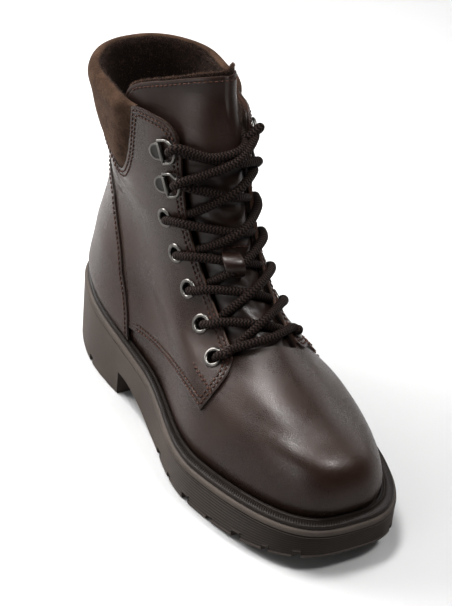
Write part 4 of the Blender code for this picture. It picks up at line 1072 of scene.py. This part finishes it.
plateParts, wireParts = [], []
for hand, turn, rise in ringPlaces:
    seat = ringSeat(hand, turn, rise)
    plateParts += [part(seated(grid, *seat, hand)) for grid in (plateGrid, barGrid)]
    ring = tube(seated(loop, *seat, hand), ringKit["wire"], ringKit["wireSides"], True)
    wireParts.append(part(ring, True))
piece = putPiece("ringPlates", *joined(plateParts), gunmetal, {"groove": np.tile(darkReflection, len(ringPlaces))}, 50)
place(piece, "hardware", *bothSides("ring_plate", 2))
place(putPiece("dRings", *joined(wireParts), gunmetal, crease=50), "hardware", *bothSides("d_ring", 2))
print("metal done")

# lace: one cord; points are radians from the front centre line, rise and off, turned into places on the last
cord = {
    "radius": 2.6, "step": 0.6, "sides": 20, "squeeze": 0.25, "climb": 0.46, "firstClimb": 0.80, "lift": 4.0,
    "squeezeFrom": 2, "squeezeOver": 6, "tip": 0.05, "tongueGap": 0.1, "ringDrop": 0.01,
    "search": (0.36, 1.04, 341),  # rises tried for a strand: from, to, how many
    # bar over the vamp: away, rise, off (added to the facing's where marked)
    "bar": ((-0.66, 0.457, -0.4, 1), (-0.34, 0.497, 3.4, 0), (0.0, 0.512, 3.1, 0), (0.34, 0.506, 3.4, 0),
            (0.64, 0.476, -0.4, 1)),
    # from under the near facing: past its edge, off, share of the lift; then onto the far facing
    "under": ((0.03, -2.7, 0.0), (-0.10, -1.1, 0.25)), "onto": (-0.03, -0.6),
    # through an eyelet: toward the throat, up (the first three times the climb), outward
    "eyelet": ((7.6, 7.6, 4.5), (5.0, 4.6, 4.7), (3.0, 2.2, 4.1), (1.6, 0.2, 2.0), (1.1, 0.0, -0.6),
               (1.8, 0.8, -3.2), (4.6, 3.0, -4.4)),
    # round a ring: along it, across it, outward; the inner ones lie flatter
    "ring": ((21.0, -2.2, -1.2), (17.8, -1.4, -1.4), (14.4, -0.7, -0.7), (12.8, 0.0, 1.4), (14.0, 0.5, 3.6),
             (16.8, 1.3, 4.5), (21.0, 2.6, 3.6)), "innerFlat": 0.6,
    # last runs from the top rings: away, rise above the ring, off (added to the tongue's where marked)
    "outerEnd": ((-0.30, 0.004, 1.0, 1), (0.0, 0.012, 0.6, 1), (0.28, 0.018, -0.4, 1), (0.50, 0.018, -2.4, 0),
                 (0.68, 0.016, -4.6, 0), (0.80, 0.012, -4.8, 0)),
    "innerEnd": ((0.50, 0.026, -2.2, 0), (0.66, 0.030, -4.6, 0), (0.80, 0.026, -4.8, 0)), "endRise": 0.040}
over = skinOff + last["gap"] + cord["radius"]
bedOff = bedded - cord["tongueGap"] + cord["radius"]
heights = [row[0] for row in last["eyelets"]] + [row[0] - cord["ringDrop"] for row in last["ringPlates"]]


def onLast(points):  # radians from the front centre line, rise and off as places
    away, rise, off = np.asarray(points, float).T
    return form(pi - away, rise, off)


def strand(rows, base, low=0.0):  # the same for table rows, with the base added to the offs that ask for it
    return onLast([(away, low + up, off + base * asked) for away, up, off, asked in rows])


def inLine(away, off, start, end):  # the place at this angle and off that lies nearest a straight strand
    rises = np.linspace(*cord["search"])
    apart = form(pi - away, rises, off) - start
    axis = unit(end - start)
    apart = apart - (apart @ axis)[:, None] * axis
    return away, rises[np.argmin((apart ** 2).sum(1))], off


def throughEyelet(hand, k):  # from outside over the flange, down the hole and away inside
    origin, axes = seatAt(*fitting(last["eyelets"][k], hand), 0.0, hand)
    local = np.array(cord["eyelet"])
    local[:3, 1] *= cord["climb"] if k else cord["firstClimb"]
    return origin + local @ axes


def roundRing(hand, k):  # under the D-ring's wire, round behind it and back over it
    origin, axes = ringSeat(hand, *fitting(last["ringPlates"][k], hand))
    return origin + (np.array(cord["ring"]) * (1, 1, 1 if hand < 0 else cord["innerFlat"])) @ axes


def crossing(hand, k):  # straight from the near side, row k, to the far side, row k + 1
    fromRing, toRing = k >= 5, k >= 4
    start = (roundRing(hand, k - 5) if fromRing else throughEyelet(hand, k))[-1]
    end = (roundRing(-hand, k - 4) if toRing else throughEyelet(-hand, k + 1))[0]
    near = pi - abs(throat(heights[k], hand))
    far = pi - abs(throat(heights[k + 1], -hand))
    lift = cord["lift"] if hand < 0 else 0.0
    wanted = []
    if not fromRing:
        wanted += [(hand * (near + past), off + share * lift) for past, off, share in cord["under"]]
    wanted.append((keeper["away"] if k == 2 else 0.0, bedOff + lift))
    if not toRing:
        wanted.append((-hand * (far + cord["onto"][0]), over + cord["onto"][1]))
    return onLast([inLine(away, off, start, end) for away, off in wanted])


def chain(hand):  # one end of the lace, from the first eyelet up to the top ring
    parts = [throughEyelet(hand, 0)]
    side = hand
    for k in range(6):
        parts.append(crossing(side, k))
        side = -side
        parts.append(throughEyelet(side, k + 1) if k < 4 else roundRing(side, k - 4))
    top = heights[-1] + cord["endRise"]
    return np.vstack(parts + [strand(cord["outerEnd" if side < 0 else "innerEnd"], bedOff, top)])


route = np.concatenate([chain(-1)[::-1], strand(cord["bar"], over), chain(1)])
path = smoothPath(route, cord["step"])
laceLength = float(lengths(path)[-1])
hidden = distanceTo(path, np.concatenate([throughEyelet(hand, k)[4:] for hand in (-1, 1) for k in range(5)]))
squeeze = 1 - cord["squeeze"] * (1 - smooth((hidden - cord["squeezeFrom"]) / cord["squeezeOver"]))
squeeze[[0, -1]] *= cord["tip"]
ring = tube(path, cord["radius"] * squeeze, cord["sides"])
around = np.linspace(0, 2 * pi, cord["sides"], endpoint=False)
run = np.linspace(0, laceLength, len(path))[:, None]
weave = np.stack([run + 0 * around, np.cos(around) + 0 * run, np.sin(around) + 0 * run], -1)
piece = putPiece("laceCord", *part(ring), braid, {"weave": weave.reshape(-1, 3)})
place(piece, "lace_cord", "lace_bar", "lace_top", *[f"lace_cross_{k}" for k in range(1, 7)])
print("lace done, length in mm:", round(laceLength))

# outsole: side wall with ribs and ridge, lug notches at its lower edge, plain tread beneath
sole = {
    "cols": 300, "ribs": 9, "perRib": 6, "ribDepth": 0.9, "ribStart": 120, "ribFade": 60, "across": 41,
    "coverAcross": 9, "groove": 2.4, "ribLow": 2.2, "ribTop": -1.9, "ribPower": 0.7,
    "roof": 1.25, "roofFade": 0.9, "roofStep": 0.4,  # no ribs on the roof of a notch
    "wallSteps": (-0.45, -0.12, 0.12, 0.45), "breastSteps": (-0.5, 0.0, 0.28, 0.34, 0.8),  # crowded columns
    # lug notches: x from the heel end, width along the edge, depth up, depth inward
    "lugs": ((22, 5, 4, 9), (58, 5, 4, 9), (160, 6, 4, 11), (181, 4, 3, 6), (203, 6, 4, 12), (224, 4, 3, 6),
             (245, 6, 4, 12), (264, 4, 3, 6), (279, 5, 4, 10)),
    # lower edge, then ridge line and shoulder: off, height above the foot or the ridge, painted groove shade
    "edge": ((-1.2, 0.0, 0), (-0.35, 0.35, 0), (0.0, 1.2, 0)),
    "ridge": ((0.0, -1.6, 0), (-0.15, -1.25, 0), (-0.8, -1.05, 1), (-0.85, -0.55, 1), (0.05, -0.3, 0),
              (0.15, 0.0, 0), (0.05, 0.8, 0), (-0.2, 1.6, 0), (-0.55, 2.2, 0), (-1.1, 2.65, 0),
              (-1.8, 2.9, 0), (-7.0, 2.9, 0))}


def planTurn(x):  # turn at which the outline reaches x, counted from the heel end
    return np.arccos(np.clip(1 - 2 * np.asarray(x, float) / last["length"], -1, 1))


lugX, lugWidth, lugUp, lugDeep = np.array(sole["lugs"], float).T
lugTurn = planTurn(lugX)
speed = np.linalg.norm(plan(lugTurn + 5e-4, 0) - plan(lugTurn - 5e-4, 0), axis=1) / 1e-3
lugHalf = lugWidth / 2 / speed
close = np.array(sole["wallSteps"]) / speed[:, None]
walls = [(lugTurn + sign * lugHalf)[:, None] + close for sign in (-1, 1)]
dense = np.linspace(0, pi, 6000)
run = lengths(plan(dense, 0))
even = np.interp(np.linspace(0, run[-1], sole["cols"]), run, dense)
breast = planTurn(last["heelBreast"] + np.array(sole["breastSteps"]))
half = np.unique(np.round(np.concatenate([even, values(*walls), breast]), 6))
half[-1] = pi
turn = np.concatenate([-half[::-1], half[1:-1]])
x = plan(turn, 0)[:, 0]
level = 0 * x


def notch(turn):  # how far the lower edge is cut up at this turn
    return np.max(lugUp[:, None] * (np.abs(np.abs(turn) - lugTurn[:, None]) < lugHalf[:, None]), axis=0)


base = soleUnder(x)
foot = base + notch(turn)
ridge = soleTop(x) - last["ridgeDrop"]
ribFade = sole["ribDepth"] * smooth((x + last["length"] / 2 - sole["ribStart"]) / sole["ribFade"])
low, high = base + sole["ribLow"], ridge + sole["ribTop"]
levels = [(off + level, foot + up, groove + level) for off, up, groove in sole["edge"]]
for share in np.linspace(0, 1, sole["perRib"] * sole["ribs"] + 1):
    wave = (0.5 - 0.5 * np.cos(2 * pi * sole["ribs"] * share)) ** sole["ribPower"]
    z = low + (high - low) * share
    roof = foot + sole["roof"]
    depth = ribFade * wave * smooth((z - roof) / sole["roofFade"])
    # the third value is painted shade, as strong as the rib's groove is deep
    levels.append((-depth, np.maximum(z, roof + sole["roofStep"] * share), depth / sole["ribDepth"]))
levels += [(off + level, ridge + up, groove + level) for off, up, groove in sole["ridge"]]
wallGrid = np.stack([np.column_stack([plan(turn, off), z]) for off, z, groove in levels])


def ladder(row, height, count):  # a sheet between the outer and inner half of a ring of columns
    across = spread(count, 0.7)[:, None]
    outer, inner = row[:len(half)][::-1], np.concatenate([row[len(half) - 1:], row[:1]])
    sheet = outer + (inner - outer) * across[..., None]
    if height is not None:  # the tread: notches near the edge, shallow grooves between them
        reach = np.linalg.norm(inner - outer, axis=1)
        edge = np.minimum(across, 1 - across) * reach
        lifts = np.zeros_like(edge)
        for up, deep, at, width in zip(lugUp, lugDeep, lugTurn, lugHalf):
            here = np.abs(half - at) < width
            lifts = np.maximum(lifts, np.where(here & (edge < deep), up, np.where(here, sole["groove"], 0)))
        inside = height[:len(half)][::-1] + lifts
        sheet[..., 2] = np.where((edge > 0.01) & (reach > 0.01), inside, sheet[..., 2])
    return sheet


def weld(points, faces):  # merge equal points and drop faces that collapse
    keys, pick, index = np.unique(np.round(points, 3), axis=0, return_index=True, return_inverse=True)
    faces = index.reshape(-1)[faces]
    corners = 1 + (np.diff(np.sort(faces, axis=1), axis=1) > 0).sum(1)
    thin = [[t[i] for i in range(4) if t[i] != t[i - 1]] for t in faces[corners == 3]]
    groups = [faces[corners == 4], np.array(thin).reshape(-1, 3)]
    return keys, groups if thin else groups[:1], pick


under = ladder(wallGrid[0], base, sole["across"])
cover = ladder(wallGrid[-1], None, sole["coverAcross"])
parts = [(wallGrid.reshape(-1, 3), gridFaces(*wallGrid.shape[:2], wrap=True)),
         (under.reshape(-1, 3), gridFaces(*under.shape[:2])),
         (cover.reshape(-1, 3), gridFaces(*cover.shape[:2])[:, ::-1])]
points, faces, pick = weld(*joined(parts))
# painted shade in the rib grooves and under the ridge, carried as the groove mark
groove = values(*(groove for off, z, groove in levels), np.zeros(under.size // 3 + cover.size // 3))[pick]
piece = putPiece("soleUnit", points, faces, soleRubber, {"groove": groove}, crease=38)
place(piece, "sole_rubber", "outsole")
print("outsole done")

# welt: a bead beside the upper and a knurled band out to the shoulder of the sole; share across, height
welt = {"ribs": 440, "per": 4, "knurl": 0.32, "band": (0.42, 0.95), "bandLow": 1.0, "edge": -1.7,
        "clear": 0.15,
        "profile": ((0, 0.0), (0, 2.3), (0.02, 2.9), (0.06, 3.2), (0.11, 3.2), (0.15, 2.85), (0.18, 2.85),
                    (0.22, 3.15), (0.28, 3.1), (0.32, 2.7), (0.34, 2.3), (0.40, 2.3), (0.44, 2.6),
                    (0.56, 2.65), (0.70, 2.6), (0.84, 2.5), (0.92, 2.3), (0.97, 1.9), (1.0, 1.3),
                    (1.0, 0.0), (0.5, -0.05))}
half = np.interp(np.linspace(0, run[-1], welt["ribs"] * welt["per"] // 2 + 1), run, dense)
turn = np.concatenate([-half[::-1], half[1:-1]])
foot = np.stack([form(turn, rise, last["gap"] + welt["clear"])[:, :2] for rise in (0.0, 0.015, 0.03)])
reach = np.linalg.norm(foot - foot.mean(axis=(0, 1)), axis=-1)
innerEdge = np.take_along_axis(foot, reach.argmax(0)[None, :, None], 0)[0]
outerEdge = plan(turn, welt["edge"])
wave = (np.arange(len(turn)) % welt["per"] < welt["per"] // 2) * 1.0
rows, knurlShade = [], []
for share, height in welt["profile"]:
    xy = innerEdge + (outerEdge - innerEdge) * share
    dip = wave if welt["band"][0] < share < welt["band"][1] and height > welt["bandLow"] else 0 * wave
    rows.append(np.column_stack([xy, seatLine(xy[:, 0]) + height - welt["knurl"] * dip]))
    knurlShade.append(dip)
# the knurl's dips carry painted shade into the rubber's colour through the groove mark
piece = putPiece("weltStrip", *part(np.stack(rows), True), weltRubber, {"groove": np.concatenate(knurlShade)}, 50)
place(piece, "welt_rubber", "welt")

# insole: a fleece-topped board inside the foot of the upper, dished between its edges
insole = {"rows": 40, "cols": 90, "end": 0.02, "clear": 0.9, "thick": 2.4, "dish": 0.9}
half = insole["end"] + (pi - 2 * insole["end"]) * spread(insole["cols"], 0.6)
outer, inner = (form(hand * half, 0.0, -last["wall"] - insole["clear"]) for hand in (-1, 1))
across = spread(insole["rows"], 0.6)[:, None]
board = outer + (inner - outer) * across[..., None]
low = seatLine(board[..., 0])
dish = insole["dish"] * (2 * across - 1) ** 2
sheets = [np.concatenate([board[..., :2], z[..., None]], -1) for z in (low + insole["thick"] + dish, low)]
piece = putPiece("insoleBoard", layers(*sheets), slabFaces(insole["rows"], insole["cols"])[:, ::-1], fleece)
place(piece, "insole_lining", "insole")

points, faces = joined(stitchParts)
place(putPiece("stitching", points, faces, thread), "upper_leather")
each = len(stitching["shape"]) * stitching["sides"]
print("sole, welt, insole and stitches done:", len(points) // each, "stitches")

scene.view_layers[0].update()
meshes = {piece.name: piece.data for piece in scene.objects if piece.type == "MESH"}
counts = [(sum(len(face.vertices) - 2 for face in mesh.polygons), name) for name, mesh in meshes.items()]
print("triangles:", sum(count for count, name in counts), "in all;", sorted(counts, reverse=True)[:12])
size = {"cad": cadBox, "visual": [list(corner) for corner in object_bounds()]}
